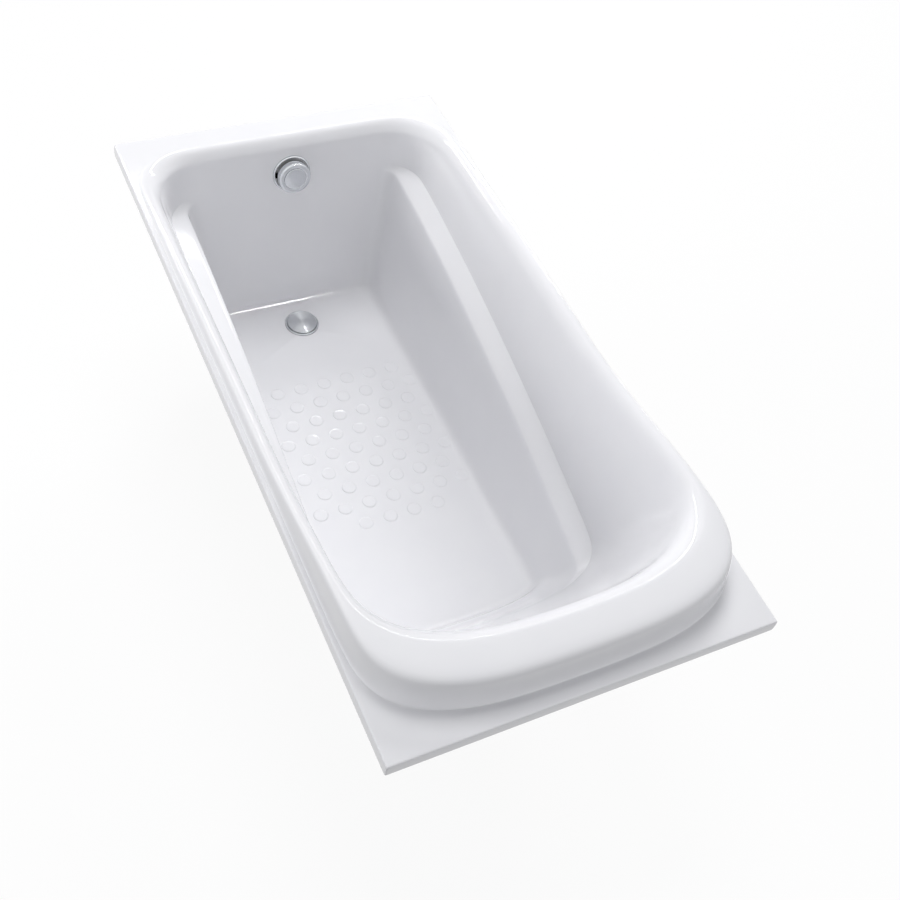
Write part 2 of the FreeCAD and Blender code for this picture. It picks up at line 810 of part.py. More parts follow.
def overflow_housing():
    """Cup behind the wall with a spindle bush, screw lugs, a spout and a cable boss."""
    inner = overflow_cup_radius - overflow_cup_wall
    floor = housing_back + overflow_cup_wall
    front = housing_front - seat_gap
    lug_top = front - screw_lug_set_back
    lug_low = lug_top - screw_lug_thickness
    outside = joined([
        upright(overflow_cup_radius, 0, 0, housing_back, front),
        upright(overflow_flange_radius, 0, 0, front - overflow_flange_thickness, front),
        cylinder(inlet_radius, vec(0, 0, spout_w), vec(spout_reach, 0, spout_w)),
        cylinder(cable_boss_radius, vec(0, -drum_radius, cable_w),
                 vec(overflow_cup_radius, -drum_radius, cable_w)),
    ])
    cup = outside.cut([
        upright(inner, 0, 0, floor, front + overrun),
        cylinder(inlet_radius - inlet_wall, vec(0, 0, spout_w), vec(spout_reach + overrun, 0, spout_w)),
        cylinder(cable_radius + thread_gap, vec(0, -drum_radius, cable_w),
                 vec(overflow_cup_radius + overrun, -drum_radius, cable_w)),
    ])
    bush_low = housing_back + overflow_cup_wall / 2
    inside = [upright(overflow_bush_radius, 0, 0, bush_low, floor + overflow_bush_length)]
    lug_inner = screw_circle_radius - screw_lug_width / 2
    lug_outer = overflow_cup_radius - overflow_cup_wall / 2
    for low, high in ((lug_inner, lug_outer), (-lug_outer, -lug_inner)):
        inside.append(block(-screw_lug_width / 2, screw_lug_width / 2, low, high, lug_low, lug_top))
    bores = [upright(spindle_radius + running_gap, 0, 0, floor, floor + overflow_bush_length + overrun)]
    for side in (-1, 1):
        y = side * screw_circle_radius
        bores.append(upright(screw_radius + thread_gap, 0, y, lug_low, lug_top + overrun))
    return at_overflow(joined([cup] + inside).cut(bores))


def overflow_screws():
    """Two screws that pull plate and housing together."""
    head_low = plate_front - overflow_plate_thickness / 3
    lug_top = housing_front - seat_gap - screw_lug_set_back
    screws = []
    for side in (-1, 1):
        y = side * screw_circle_radius
        screws.append(at_overflow(joined([
            upright(screw_radius, 0, y, lug_top - screw_lug_thickness, head_low + screw_head_height / 2),
            upright(screw_head_radius, 0, y, head_low, head_low + screw_head_height)])))
    return Part.makeCompound(screws)


def overflow_knob():
    """Hollow knob with a rounded edge, a hub for the spindle and a recess for its cap."""
    under = knob_front - knob_wall - cap_thickness
    recess = knob_front - cap_thickness + cap_proud
    corner = knob_round * round_corner_share
    face = turned([(0, under), (knob_radius - knob_wall, under), (knob_radius - knob_wall, knob_back),
                   (knob_radius, knob_back), (knob_radius, knob_front - knob_round),
                   (knob_radius - corner, knob_front - corner), (knob_radius - knob_round, knob_front),
                   (cap_radius + cap_gap, knob_front), (cap_radius + cap_gap, recess), (0, recess)])
    socket = upright(spindle_radius + running_gap, 0, 0, knob_back - overrun, under)
    hub = upright(knob_hub_radius, 0, 0, knob_back, under + knob_wall / 2)
    return at_overflow(joined([face, hub]).cut(socket))


def knob_cap():
    """Round cap in the knob's face."""
    low = knob_front - cap_thickness + cap_proud
    high = knob_front + cap_proud
    return at_overflow(turned([(0, low), (cap_radius, low), (cap_radius, high - cap_proud),
                               (cap_radius - cap_proud, high), (0, high)]))


def knob_spindle():
    """Shaft from the housing's bush through the plate into the knob."""
    low = housing_back + overflow_cup_wall
    return at_overflow(upright(spindle_radius, 0, 0, low, knob_back + spindle_nose))


def cable_drum():
    """Disc on the spindle that the cable is hooked to."""
    drum_front = drum_back + drum_thickness
    quarter = drum_thickness / 4
    disc = upright(drum_radius, 0, 0, drum_back, drum_front)
    groove = turned([(drum_radius - quarter, drum_back + quarter),
                     (drum_radius + overrun, drum_back + quarter),
                     (drum_radius + overrun, drum_front - quarter),
                     (drum_radius - quarter, drum_front - quarter)])
    bore = upright(spindle_radius + running_gap, 0, 0, drum_back - overrun, drum_front + overrun)
    return at_overflow(disc.cut([groove, bore]))


# Pipes


def behind_wall(reach, across, depth):
    """Point behind the foot end wall, a distance down it from the overflow's centre."""
    return overflow_place.multVec(vec(reach, across, depth))


down_wall = overflow_place.Rotation.multVec(x_axis)


def rounded_path(points, radius):
    """Wire of straight runs through the points, with a tangent arc at each corner."""
    edges = []
    start = points[0]
    for before, corner, after in zip(points, points[1:], points[2:]):
        way_in = (corner - before).normalize()
        way_out = (after - corner).normalize()
        half_turn = way_in.getAngle(way_out) / 2
        tangent = radius * math.tan(half_turn)
        arc_start = corner - way_in * tangent
        arc_end = corner + way_out * tangent
        inward = (way_out - way_in).normalize()
        middle = corner + inward * (radius / math.cos(half_turn) - radius)
        edges.append(Part.LineSegment(start, arc_start).toShape())
        edges.append(Part.Arc(arc_start, middle, arc_end).toShape())
        start = arc_end
    edges.append(Part.LineSegment(start, points[-1]).toShape())
    return Part.Wire(edges)


def swept(radius, path):
    """Round bar along a path of straight runs and arcs."""
    bars = []
    for edge in path.OrderedEdges:
        start = edge.valueAt(edge.FirstParameter)
        way = edge.tangentAt(edge.FirstParameter)
        disc = Part.Face(Part.Wire([Part.makeCircle(radius, start, way)]))
        if isinstance(edge.Curve, Part.Circle):
            turn = math.degrees(edge.Length / edge.Curve.Radius)
            bars.append(disc.revolve(edge.Curve.Center, edge.Curve.Axis, turn))
        else:
            bars.append(disc.extrude(way * edge.Length))
    return joined(bars)


def tube(radius, wall, path):
    """Pipe with an open bore along a path."""
    return swept(radius, path).cut(swept(radius - wall, path))


pipe_start = behind_wall(spout_reach + seat_gap, 0, spout_w)
pipe_corner = pipe_start + down_wall * ((pipe_start.z - inlet_z) / math.cos(lean_angle))
pipe_end = vec(drain_x - inlet_reach - seat_gap, 0, inlet_z)


def overflow_pipe():
    """Pipe from the spout down behind the wall and across to the waste body."""
    half_turn = down_wall.getAngle(x_axis) / 2
    bend = pipe_bend_share * (pipe_end.x - pipe_corner.x) / math.tan(half_turn)
    return tube(inlet_radius, inlet_wall, rounded_path([pipe_start, pipe_corner, pipe_end], bend))


def pipe_upper_nut():
    """Union nut where the pipe meets the spout."""
    half = nut_length / 2
    return union_nut(inlet_radius, pipe_start - down_wall * half, pipe_start + down_wall * half)


def pipe_lower_nut():
    """Union nut where the pipe meets the waste body."""
    third = nut_length / 3
    return union_nut(inlet_radius, pipe_end - x_axis * third, pipe_end + x_axis * (nut_length / 2))


trap_start = vec(drain_x, outlet_reach + seat_gap, outlet_z)
trap_down_y = trap_start.y + trap_inlet_run + trap_bend_radius
trap_up_y = trap_down_y + 2 * trap_turn_radius
trap_low = outlet_z - trap_bend_radius
trap_end = vec(drain_x - trap_bend_radius - trap_outlet_run, trap_up_y, outlet_z)


def arc_edge(centre, radius, start_way, end_way):
    """Quarter or half turn about a centre, from one direction to another through their middle."""
    between_ways = start_way + end_way
    if between_ways.Length < seat_gap:
        between_ways = -z_axis
    middle = centre + between_ways.normalize() * radius
    return Part.Arc(centre + start_way * radius, middle, centre + end_way * radius).toShape()


def trap_bend():
    """Elbow down, turn at the bottom and elbow out towards the foot end."""
    first = vec(drain_x, trap_start.y + trap_inlet_run, outlet_z)
    up_top = vec(drain_x, trap_up_y, trap_low)
    path = Part.Wire([
        Part.LineSegment(trap_start, first).toShape(),
        arc_edge(first - z_axis * trap_bend_radius, trap_bend_radius, z_axis, y_axis),
        arc_edge(vec(drain_x, trap_down_y + trap_turn_radius, trap_low), trap_turn_radius, -y_axis, y_axis),
        arc_edge(up_top - x_axis * trap_bend_radius, trap_bend_radius, x_axis, z_axis),
        Part.LineSegment(trap_end + x_axis * trap_outlet_run, trap_end).toShape(),
    ])
    return tube(outlet_radius, outlet_wall, path)


def trap_inlet_nut():
    """Union nut between the waste body and the trap."""
    half = nut_length / 2
    return union_nut(outlet_radius, trap_start - y_axis * half, trap_start + y_axis * (nut_length / 3))


def trap_outlet_nut():
    """Union nut between the trap and the outlet pipe."""
    half = nut_length / 2
    return union_nut(outlet_radius, trap_end - x_axis * half, trap_end + x_axis * half)


def trap_outlet_pipe():
    """Pipe with a stop bead and a plain end that the house drain is pushed on."""
    start = trap_end - x_axis * seat_gap
    end = vec(outlet_pipe_end_inset - half_length, trap_end.y, trap_end.z)
    stop = end + x_axis * outlet_spigot
    bead = cylinder(outlet_radius + outlet_bead_height, stop + x_axis * outlet_bead_width, stop)
    pipe = cylinder(outlet_radius, start, end).fuse(bead)
    return pipe.cut(cylinder(outlet_radius - outlet_wall, start, end))


# Cable


boss_end = behind_wall(overflow_cup_radius, -drum_radius, cable_w)
cable_top = boss_end - down_wall * gland_grip_length
cable_low = vec(drain_x, -cable_boss_reach + gland_grip_length, cable_z)


def release_cable():
    """Sheathed cable from the waste body round to the overflow housing."""
    fall = (cable_top.z - cable_z) / math.cos(lean_angle)
    foot_x = (cable_top + down_wall * fall).x
    bend = cable_bend_share * (drain_x - foot_x)
    straight = gland_grip_length + gland_length + cable_spare
    side_y = cable_low.y - straight - bend
    below_housing = cable_top + down_wall * (straight + bend)
    points = [cable_low, vec(drain_x, side_y, cable_z), vec(foot_x, side_y, cable_z), below_housing,
              cable_top]
    return swept(cable_radius, rounded_path(points, bend))


def gland(start, end):
    """Six-sided gland round the cable."""
    bore = cylinder(cable_radius + thread_gap, start, end)
    return prism(gland_flat_count, 2 * gland_radius, start, end).cut(bore)


def cable_lower_gland():
    """Gland on the waste body's boss."""
    start = vec(drain_x, -cable_boss_reach - seat_gap, cable_z)
    return gland(start, start - y_axis * gland_length)


def cable_upper_gland():
    """Gland under the overflow housing."""
    start = boss_end + down_wall * seat_gap
    return gland(start, start + down_wall * gland_length)


# Board, rails and feet


board_foot_x = board_foot_inset - half_length
board_head_x = half_length - board_head_inset
board_bottom = floor_under(board_foot_x) - board_thickness
rail_web_low = board_bottom - rail_sheet
stud_top = rail_web_low - stud_head_room
rail_web_top = stud_top - stud_spare - foot_travel - leg_nut_height
rail_bottom = rail_web_top - rail_sheet
rail_places = {"foot_end": board_foot_x + rail_inset, "head_end": board_head_x - rail_inset}
stud_y = rail_length / 2 - rail_end_margin
board_half = floor_half_width - board_side_margin


def screw_spots(rail_x):
    """Places of the wood screws through one rail."""
    return [(rail_x + along * wood_screw_spread, across * (board_half - wood_screw_edge))
            for along in (-1, 1) for across in (-1, 1)]


def base_board():
    """Board under the floor, level below and following the floor's fall above."""
    outline = [vec(board_foot_x, -board_half, board_bottom), vec(board_head_x, -board_half, board_bottom),
               vec(board_head_x, -board_half, floor_under(board_head_x)),
               vec(board_foot_x, -board_half, floor_under(board_foot_x))]
    board = drawn(outline, vec(0, 2 * board_half, 0))
    bite = board_bottom + wood_screw_bite
    holes = [upright(wood_screw_radius + running_gap, x, y, board_bottom, bite)
             for rail_x in rail_places.values() for x, y in screw_spots(rail_x)]
    return board.cut(holes)


def leg_rail(rail_x):
    """Channel, open towards the head end, with the board above and the studs through its lower side."""
    low_x = rail_x - rail_width / 2
    high_x = rail_x + rail_width / 2
    end_y = rail_length / 2
    outer = block(low_x, high_x, -end_y, end_y, rail_bottom, board_bottom)
    hollow = block(low_x + rail_sheet, high_x, -end_y, end_y, rail_web_top, rail_web_low)
    holes = [upright(stud_radius + thread_gap, rail_x, side * stud_y, rail_bottom, rail_web_top)
             for side in (-1, 1)]
    holes += [upright(wood_screw_radius + running_gap, x, y, rail_web_low - overrun, board_bottom + overrun)
              for x, y in screw_spots(rail_x)]
    return outer.cut([hollow] + holes)


def rail_screws():
    """Wood screws up through the rails into the board."""
    screws = []
    for rail_x in rail_places.values():
        for x, y in screw_spots(rail_x):
            shank = upright(wood_screw_radius, x, y, rail_web_low - wood_screw_head / 2,
                            board_bottom + wood_screw_bite - seat_gap)
            head = upright(wood_screw_head_radius, x, y, rail_web_low - wood_screw_head, rail_web_low)
            screws.append(joined([shank, head]))
    return Part.makeCompound(screws)


foot_spots = {"%s_%s" % (end, side): (x, sign * stud_y)
              for end, x in rail_places.items() for side, sign in (("left", -1), ("right", 1))}


def leg_stud(x, y):
    """Threaded stud from the foot pad up through the rail."""
    return upright(stud_radius, x, y, pad_floor, stud_top)


def leg_pad(x, y):
    """Foot pad with a blind hole for the stud."""
    body = turned([(0, 0), (pad_radius, 0), (pad_radius, pad_edge), (pad_neck_radius, pad_height),
                   (0, pad_height)], x, y)
    return body.cut(upright(stud_radius + running_gap, x, y, pad_floor, pad_height + overrun))


def leg_nuts(low):
    """Hexagon nuts on the four studs from one height up."""
    nuts = []
    for x, y in foot_spots.values():
        nut = prism(leg_nut_flat_count, leg_nut_across, vec(x, y, low), vec(x, y, low + leg_nut_height))
        nuts.append(nut.cut(upright(stud_radius + thread_gap, x, y, low, low + leg_nut_height)))
    return Part.makeCompound(nuts)


# Wall clips


edge_bottom = rim_height - flange_turn_down


def rim_clip(angle, reach, along):
    """Clip that hooks inside the flange's turned-down edge and lies flat on the wall."""
    hook_out = shell_wall + thread_gap
    hook_in = hook_out + clip_sheet
    shelf_low = edge_bottom - clip_sheet
    foot = edge_bottom - clip_sheet - clip_drop
    hook_top = shelf_low + clip_hook
    profile = [(0, foot), (0, edge_bottom), (hook_out, edge_bottom), (hook_out, hook_top),
               (hook_in, hook_top), (hook_in, shelf_low), (clip_sheet, shelf_low), (clip_sheet, foot)]
    start = along - clip_length / 2
    outline = [vec(start, reach - inset, z) for inset, z in profile]
    clip = drawn(outline, vec(clip_length, 0, 0))
    hole_z = foot + clip_drop / 2
    holes = []
    for side in (-1, 1):
        hole_x = along + side * clip_hole_pitch / 2
        holes.append(cylinder(clip_hole_radius, vec(hole_x, reach - clip_sheet - overrun, hole_z),
                              vec(hole_x, reach + overrun, hole_z)))
    clip = clip.cut(holes)
    clip.rotate(vec(), z_axis, angle)
    return clip


nodes = {
    "tub_shell": tub_shell(),
    "drain_flange": drain_flange(),
    "drain_upper_seal": flat_ring(drain_flange_radius, drain_hole_radius, seat_z, flange_seat_z),
    "drain_lower_seal": flat_ring(waste_radius, drain_hole_radius, waste_top, boss_bottom),
    "plug_cap": plug_cap(),
    "plug_seal": plug_seal(),
    "plug_stem": plug_stem(),
    "plug_height_screw": plug_height_screw(),
    "waste_body": waste_body(),
    "lift_lever": lift_lever(),
    "lever_pin": lever_pin(),
    "overflow_plate": overflow_plate(),
    "overflow_gasket": overflow_gasket(),
    "overflow_housing": overflow_housing(),
    "overflow_screws": overflow_screws(),
    "overflow_knob": overflow_knob(),
    "knob_cap": knob_cap(),
    "knob_spindle": knob_spindle(),
    "cable_drum": cable_drum(),
    "overflow_pipe": overflow_pipe(),
    "pipe_upper_nut": pipe_upper_nut(),
    "pipe_lower_nut": pipe_lower_nut(),
    "release_cable": release_cable(),
    "cable_lower_gland": cable_lower_gland(),
    "cable_upper_gland": cable_upper_gland(),
    "trap_bend": trap_bend(),
    "trap_inlet_nut": trap_inlet_nut(),
    "trap_outlet_nut": trap_outlet_nut(),
    "trap_outlet_pipe": trap_outlet_pipe(),
    "base_board": base_board(),
    "foot_end_rail": leg_rail(rail_places["foot_end"]),
    "head_end_rail": leg_rail(rail_places["head_end"]),
    "rail_screws": rail_screws(),
    "leg_lower_nuts": leg_nuts(rail_bottom - leg_nut_height),
    "leg_upper_nuts": leg_nuts(rail_web_top),
    "rim_clip_side_foot": rim_clip(0, half_width, -clip_side_place),
    "rim_clip_side_head": rim_clip(0, half_width, clip_side_place),
    "rim_clip_foot_left": rim_clip(90, half_length, -clip_foot_place),
    "rim_clip_foot_right": rim_clip(90, half_length, clip_foot_place),
}
for name, (x, y) in foot_spots.items():
    nodes["leg_stud_" + name] = leg_stud(x, y)
    nodes["leg_pad_" + name] = leg_pad(x, y)

os.makedirs("parts", exist_ok=True)
for name, shape in nodes.items():
    shape.exportStep("parts/" + name + ".step")
    print(name, len(shape.Solids), shape.isValid(), round(shape.Volume))
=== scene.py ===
import json
import math

import bmesh
import bpy
from mathutils import Matrix, Vector

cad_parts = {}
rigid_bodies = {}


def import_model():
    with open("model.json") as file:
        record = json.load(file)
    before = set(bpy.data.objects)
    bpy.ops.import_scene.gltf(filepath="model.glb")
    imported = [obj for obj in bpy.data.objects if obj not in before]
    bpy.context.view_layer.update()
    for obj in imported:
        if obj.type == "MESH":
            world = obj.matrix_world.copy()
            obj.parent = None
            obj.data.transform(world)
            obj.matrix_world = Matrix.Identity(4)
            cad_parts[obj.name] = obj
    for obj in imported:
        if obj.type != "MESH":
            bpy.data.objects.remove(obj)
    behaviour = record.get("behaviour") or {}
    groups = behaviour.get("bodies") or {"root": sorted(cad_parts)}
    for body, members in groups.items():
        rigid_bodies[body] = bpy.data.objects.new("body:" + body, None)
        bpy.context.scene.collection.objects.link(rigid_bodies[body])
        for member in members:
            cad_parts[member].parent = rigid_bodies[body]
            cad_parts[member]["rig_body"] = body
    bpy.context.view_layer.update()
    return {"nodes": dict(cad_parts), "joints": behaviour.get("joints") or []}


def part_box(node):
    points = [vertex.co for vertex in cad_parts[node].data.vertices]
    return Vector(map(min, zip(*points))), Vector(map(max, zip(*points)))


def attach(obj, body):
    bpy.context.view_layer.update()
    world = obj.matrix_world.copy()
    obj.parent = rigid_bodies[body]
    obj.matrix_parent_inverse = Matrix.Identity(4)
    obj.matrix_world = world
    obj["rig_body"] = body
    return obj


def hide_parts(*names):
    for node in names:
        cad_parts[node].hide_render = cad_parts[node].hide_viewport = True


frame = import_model()

# Built-in bathtub, in metres.
# +X points to the head end, +Z up, and z = 0 is the floor that the feet stand on.

# Shell: overall sizes, from the solid where its box gives them
shell_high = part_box("tub_shell")[1]
half_length = shell_high.x
half_width = shell_high.y
rim_height = 0.600
well_depth = 0.450
shell_wall = 0.005

# Flange round the rim
flange_turn_down = 0.029
flange_edge_round = 0.002
flange_corner = 0.005
flange_foot = 0.048
flange_side = 0.009
flange_head = 0.032
flange_crisp = 0.0007

# Raised lip and its crest, which climbs from the foot end into the headrest
lip_foot = 0.030
lip_side = 0.036
lip_head = 0.110
lip_low = 0.022
lip_rise = 0.0505
lip_roll = 0.020
lip_ease = 0.150
lip_ramp_start = 0.860
lip_ramp_length = 0.420
rim_foot_corner = 0.122
rim_head_corner = 0.210

# Well
floor_foot_inset = 0.143
floor_head_inset = 0.384
floor_half_width = 0.207
floor_round = 0.034
floor_fall = 0.010
foot_lean = 0.150
head_lean = 0.525
floor_foot_corner = 0.030
floor_head_corner = 0.044

# Ledge along both sides, which falls towards the head end
ledge_half_width = 0.251
ledge_width = 0.047
ledge_foot_depth = 0.119
ledge_head_depth = 0.326
ledge_back_height = 0.011
ledge_edge = 0.008
ledge_hollow = 0.022
ledge_foot_corner = 0.080
ledge_head_corner = 0.110

# Anti-slip dots
dot_radius = 0.017
dot_height = 0.0015
dot_pitch = 0.0576
dot_rows_start = 0.197
dot_field_shift = 0.010
dot_counts = (6, 7, 6, 7, 6, 7, 6, 7, 4)
dot_sides = 28

# Drain
drain_setback = 0.219
drain_hole_radius = 0.027
drain_seat_depth = 0.003
drain_seat_radius = 0.0406
drain_seat_round = 0.0016
drain_boss_radius = 0.046
drain_sides = 64

# Overflow hole, and the length of the cutter that makes it
overflow_hole_radius = 0.030
overflow_cut_length = 0.040

# Plug, knob, its cap in a groove, and the radius inside the overflow plate's ring where shade is painted
# dark
plug_edge = 0.0030
plug_round = 0.0009
plug_skirt = 0.0020
knob_wall = 0.0030
knob_round = 0.0030
knob_edge = 0.0008
cap_groove = 0.0007
cap_groove_depth = 0.0022
plate_painted_shade_radius = 0.0398
painted_shade_blend = 0.001

# Steps of the rounded edges, and the angles at which the plug's edge and dome end
edge_steps = 4
cap_steps = 6
round_steps = 8
dome_steps = 12
plug_edge_turn = 60
dome_turn = 88

# Cleaning of the solids' copies: points this close are merged, faces this flat are joined, and edges this
# sharp are rounded, in degrees
merge_gap = 0.000005
flat_angle = 0.5
sharp_angle = 40
shell_sharp_angle = 35

# Materials of the shell by number: gloss sheet, fibre back, turned-down edge painted grey as shade
face_slot = 0
back_slot = 1
edge_slot = 2

# Points round each ring of the shell and the powers that square its corners
foot_points = 4
corner_points = 6
side_points = 9
head_points = 10
foot_roundness = 2.2
head_roundness = 2.7
lip_roundness = 3.1
square_roundness = 300.0
ledge_bow_power = 1.57

# Rings over the lip: share of its width at foot, side and head, share of the crest and of the roll's fall
lip_shares = (
    (0.00, 0.00, 0.00, 0.00, 0.00),
    (0.05, 0.04, 0.014, 0.03, 0.00),
    (0.10, 0.09, 0.036, 0.36, 0.00),
    (0.15, 0.15, 0.073, 0.81, 0.00),
    (0.20, 0.24, 0.135, 1.00, 0.00),
    (0.32, 0.42, 0.718, 1.00, 0.02),
    (0.61, 0.68, 0.784, 1.00, 0.19),
    (1.00, 1.00, 1.00, 1.00, 1.00),
)
# Rings of the upper wall, as shares of the way from lip to ledge at foot, side and head
upper_shares = (
    (0.10, 0.12, 0.19),
    (0.24, 0.42, 0.49),
    (0.70, 0.78, 0.87),
)
# Corners of the rings from the ledge down, at foot and head, as shares of the floor's corners
ledge_corner_shares = (1.30, 1.50)
drop_corner_shares = (1.20, 1.40)
middle_corner_shares = (1.15, 1.20)
# Rings at the floor: share of the round's rise, of its reach outwards and of the corner
floor_shares = (
    (1.00, 0.19, 1.10),
    (0.19, 0.00, 1.00),
    (0.00, -0.36, 0.94),
    (0.00, -0.75, 0.86),
)
# Rings from the flange's lowest to the top of its turned-down edge
edge_count = 6
# Rings of the basin that stay crisp: number of the ring and its share of a full crease
crisp_shares = ((0, 0.60), (5, 0.30), (12, 0.50), (14, 0.60))
flange_rest_share = 0.85
ledge_crease_share = 0.91
lip_low_start_share = 0.3
middle_share = 0.5
seat_lead_share = 0.3
# Rings over a dot: share of its radius and of its height
dot_shares = (
    (0.955, 0.14),
    (0.905, 0.50),
    (0.850, 0.80),
    (0.760, 0.94),
    (0.450, 1.00),
)

# Places that pieces share: the drain's axis, its seat, and the knob's axis in the foot end wall
drain_x = drain_setback - half_length
drain_at = Matrix.Translation((drain_x, 0, 0))
seat_z = rim_height - well_depth - drain_seat_depth
knob_joint = next(joint for joint in frame["joints"] if joint["name"] == "knob_turn")
overflow_axis = Vector(knob_joint["axis"])
overflow_turn = overflow_axis.to_track_quat("Z", "Y")
overflow_at = Matrix.Translation(knob_joint["pos_m"]) @ overflow_turn.to_matrix().to_4x4()


# Helpers of numbers


def mix(a, b, share):
    """The value a share of the way from a to b."""
    return a + (b - a) * share


def ease(share):
    """Smooth step from 0 to 1."""
    held = min(max(share, 0.0), 1.0)
    return held * held * (3 - 2 * held)


def arc(centre, height, radius, start, end, steps):
    """Points of a profile's rounded corner, as (radius, height), from one angle to another in degrees."""
    turns = [math.radians(mix(start, end, k / steps)) for k in range(steps + 1)]
    return [(centre + radius * math.cos(t), height + radius * math.sin(t)) for t in turns]


# Rings of the shell


def crest(x):
    """Height of the lip's crest over the flange, by place along the tub."""
    along = x + half_length
    lifted = ease((along - flange_foot) / lip_ease)
    low = lip_low * mix(lip_low_start_share, 1.0, ease(along / lip_ramp_start)) * lifted
    return low + lip_rise * ease((along - lip_ramp_start) / lip_ramp_length)


def floor_z(x):
    """Height of the floor, which falls to the drain."""
    return rim_height - well_depth + floor_fall * (x - drain_x)


def floor_under(x):
    """Height of the floor's underside."""
    return floor_z(x) - shell_wall * math.hypot(1, floor_fall)


def foot_wall_x(depth):
    """Face of the foot end wall at a depth under the flange."""
    return floor_foot_inset - half_length - foot_lean * (well_depth - depth)


def head_wall_x(depth):
    """Face of the backrest at a depth under the flange."""
    return half_length - floor_head_inset + head_lean * (well_depth - depth)


def round_share(value, roundness):
    """Sine or cosine bent into a squarer curve."""
    return max(value, 0.0) ** (2 / roundness)


def half_ring(foot_x, head_x, half, foot_corner, foot_power, head_corner, head_power):
    """Points from the foot end's middle round the +Y side to the head end's middle."""
    points = []
    for k in range(foot_points):
        points.append((foot_x, (half - foot_corner) * k / foot_points))
    for k in range(corner_points):
        turn = math.pi / 2 * k / corner_points
        points.append((foot_x + foot_corner * (1 - round_share(math.cos(turn), foot_power)),
                       half - foot_corner * (1 - round_share(math.sin(turn), foot_power))))
    for k in range(side_points):
        points.append((mix(foot_x + foot_corner, head_x - head_corner, k / side_points), half))
    for k in range(head_points):
        turn = math.pi / 2 * k / (head_points - 1)
        across = half * round_share(math.cos(turn), head_power) if k < head_points - 1 else 0
        points.append((head_x - head_corner * (1 - round_share(math.sin(turn), head_power)), across))
    return points


def whole_ring(half, height):
    """Ring of points on both sides of the tub, with a height for each."""
    right = [Vector((x, y, height(x))) for x, y in half]
    left = [Vector((p.x, -p.y, p.z)) for p in reversed(right[1:-1])]
    return right + left


def flange_ring(inset, depth):
    """Ring with square corners, a distance in from the flange's edge."""
    half = half_ring(inset - half_length, half_length - inset, half_width - inset, flange_corner,
                     2, half_width - inset, square_roundness)
    return whole_ring(half, lambda x: rim_height - depth)


def between(ring_a, ring_b, share):
    """Ring a share of the way between two others."""
    return [a.lerp(b, share) for a, b in zip(ring_a, ring_b)]


def lip_ring(foot, side, head, rise, fall):
    """Ring over the lip."""
    foot_x = flange_foot + lip_foot * foot - half_length
    head_x = half_length - flange_head - lip_head * head
    half_wide = half_width - flange_side - lip_side * side
    roundness = mix(lip_roundness, head_roundness, head)
    half = half_ring(foot_x, head_x, half_wide, rim_foot_corner, foot_roundness, rim_head_corner, roundness)
    return whole_ring(half, lambda x: rim_height + rise * crest(x) - fall * lip_roll)


def wall_ring(foot_depth, head_depth, half_wide, foot_corner, head_corner):
    """Ring on the walls of the well, which falls from foot to head as the ledge does."""
    foot_x = foot_wall_x(foot_depth)
    head_x = head_wall_x(head_depth)

    def height(x):
        share = min(max((x - foot_x) / (head_x - foot_x), 0.0), 1.0)
        return rim_height - mix(foot_depth, head_depth, share ** ledge_bow_power)

    half = half_ring(foot_x, head_x, half_wide, foot_corner, foot_roundness, head_corner, head_roundness)
    return whole_ring(half, height)


def floor_corners(shares):
    """Corner sizes at foot and head, as shares of the floor's."""
    return floor_foot_corner * shares[0], floor_head_corner * shares[1]


def floor_ring(rise, out, corner):
    """Ring at the floor's rounded edge."""
    inset = floor_foot_inset - floor_round * out
    half = half_ring(inset - half_length, half_length - floor_head_inset + floor_round * out,
                     floor_half_width + floor_round * out, floor_foot_corner * corner, foot_roundness,
                     floor_head_corner * corner, head_roundness)
    return whole_ring(half, lambda x: floor_z(x) + floor_round * rise)


def basin_rings():
    """Rings from the lip's foot over the lip and down the walls to the floor, upper side."""
    rings = [lip_ring(*shares) for shares in lip_shares]
    rim_half = half_width - flange_side - lip_side
    ledge_half = ledge_half_width + ledge_width
    foot_ledge = ledge_foot_depth - ledge_back_height
    head_top = lip_roll - lip_low - lip_rise
    head_ledge = ledge_head_depth - ledge_back_height
    for foot, side, head in upper_shares:
        rings.append(wall_ring(mix(lip_roll, foot_ledge - ledge_hollow / 2, foot),
                               mix(head_top, head_ledge, head),
                               mix(rim_half, ledge_half, side),
                               mix(rim_foot_corner, ledge_foot_corner, side),
                               mix(rim_head_corner, ledge_head_corner, side)))
    back = wall_ring(foot_ledge, head_ledge, ledge_half, ledge_foot_corner, ledge_head_corner)
    front = wall_ring(ledge_foot_depth, ledge_head_depth, ledge_half_width + ledge_edge / 3,
                      *floor_corners(ledge_corner_shares))
    rings.append(between(rings[-1], back, ledge_crease_share))
    rings += [back, between(front, back, ledge_crease_share), front]
    rings.append(wall_ring(ledge_foot_depth + ledge_edge, ledge_head_depth + ledge_edge,
                           ledge_half_width - ledge_edge / 3, *floor_corners(drop_corner_shares)))
    rings.append(wall_ring(mix(ledge_foot_depth, well_depth, middle_share),
                           mix(ledge_head_depth, well_depth, middle_share),
                           mix(ledge_half_width, floor_half_width, middle_share),
                           *floor_corners(middle_corner_shares)))
    rings += [floor_ring(*shares) for shares in floor_shares]
    return rings


def set_in(rings, outside, depth):
    """Rings moved into the material by a depth, square to the surface they span."""
    around = len(rings[0])
    grid = [outside] + rings + [rings[-1]]
    moved = []
    for j in range(1, len(grid) - 1):
        ring = []
        for k in range(around):
            along = grid[j][(k + 1) % around] - grid[j][k - 1]
            down = grid[j + 1][k] - grid[j - 1][k]
            ring.append(grid[j][k] + along.cross(down).normalized() * depth)
        moved.append(ring)
    return moved


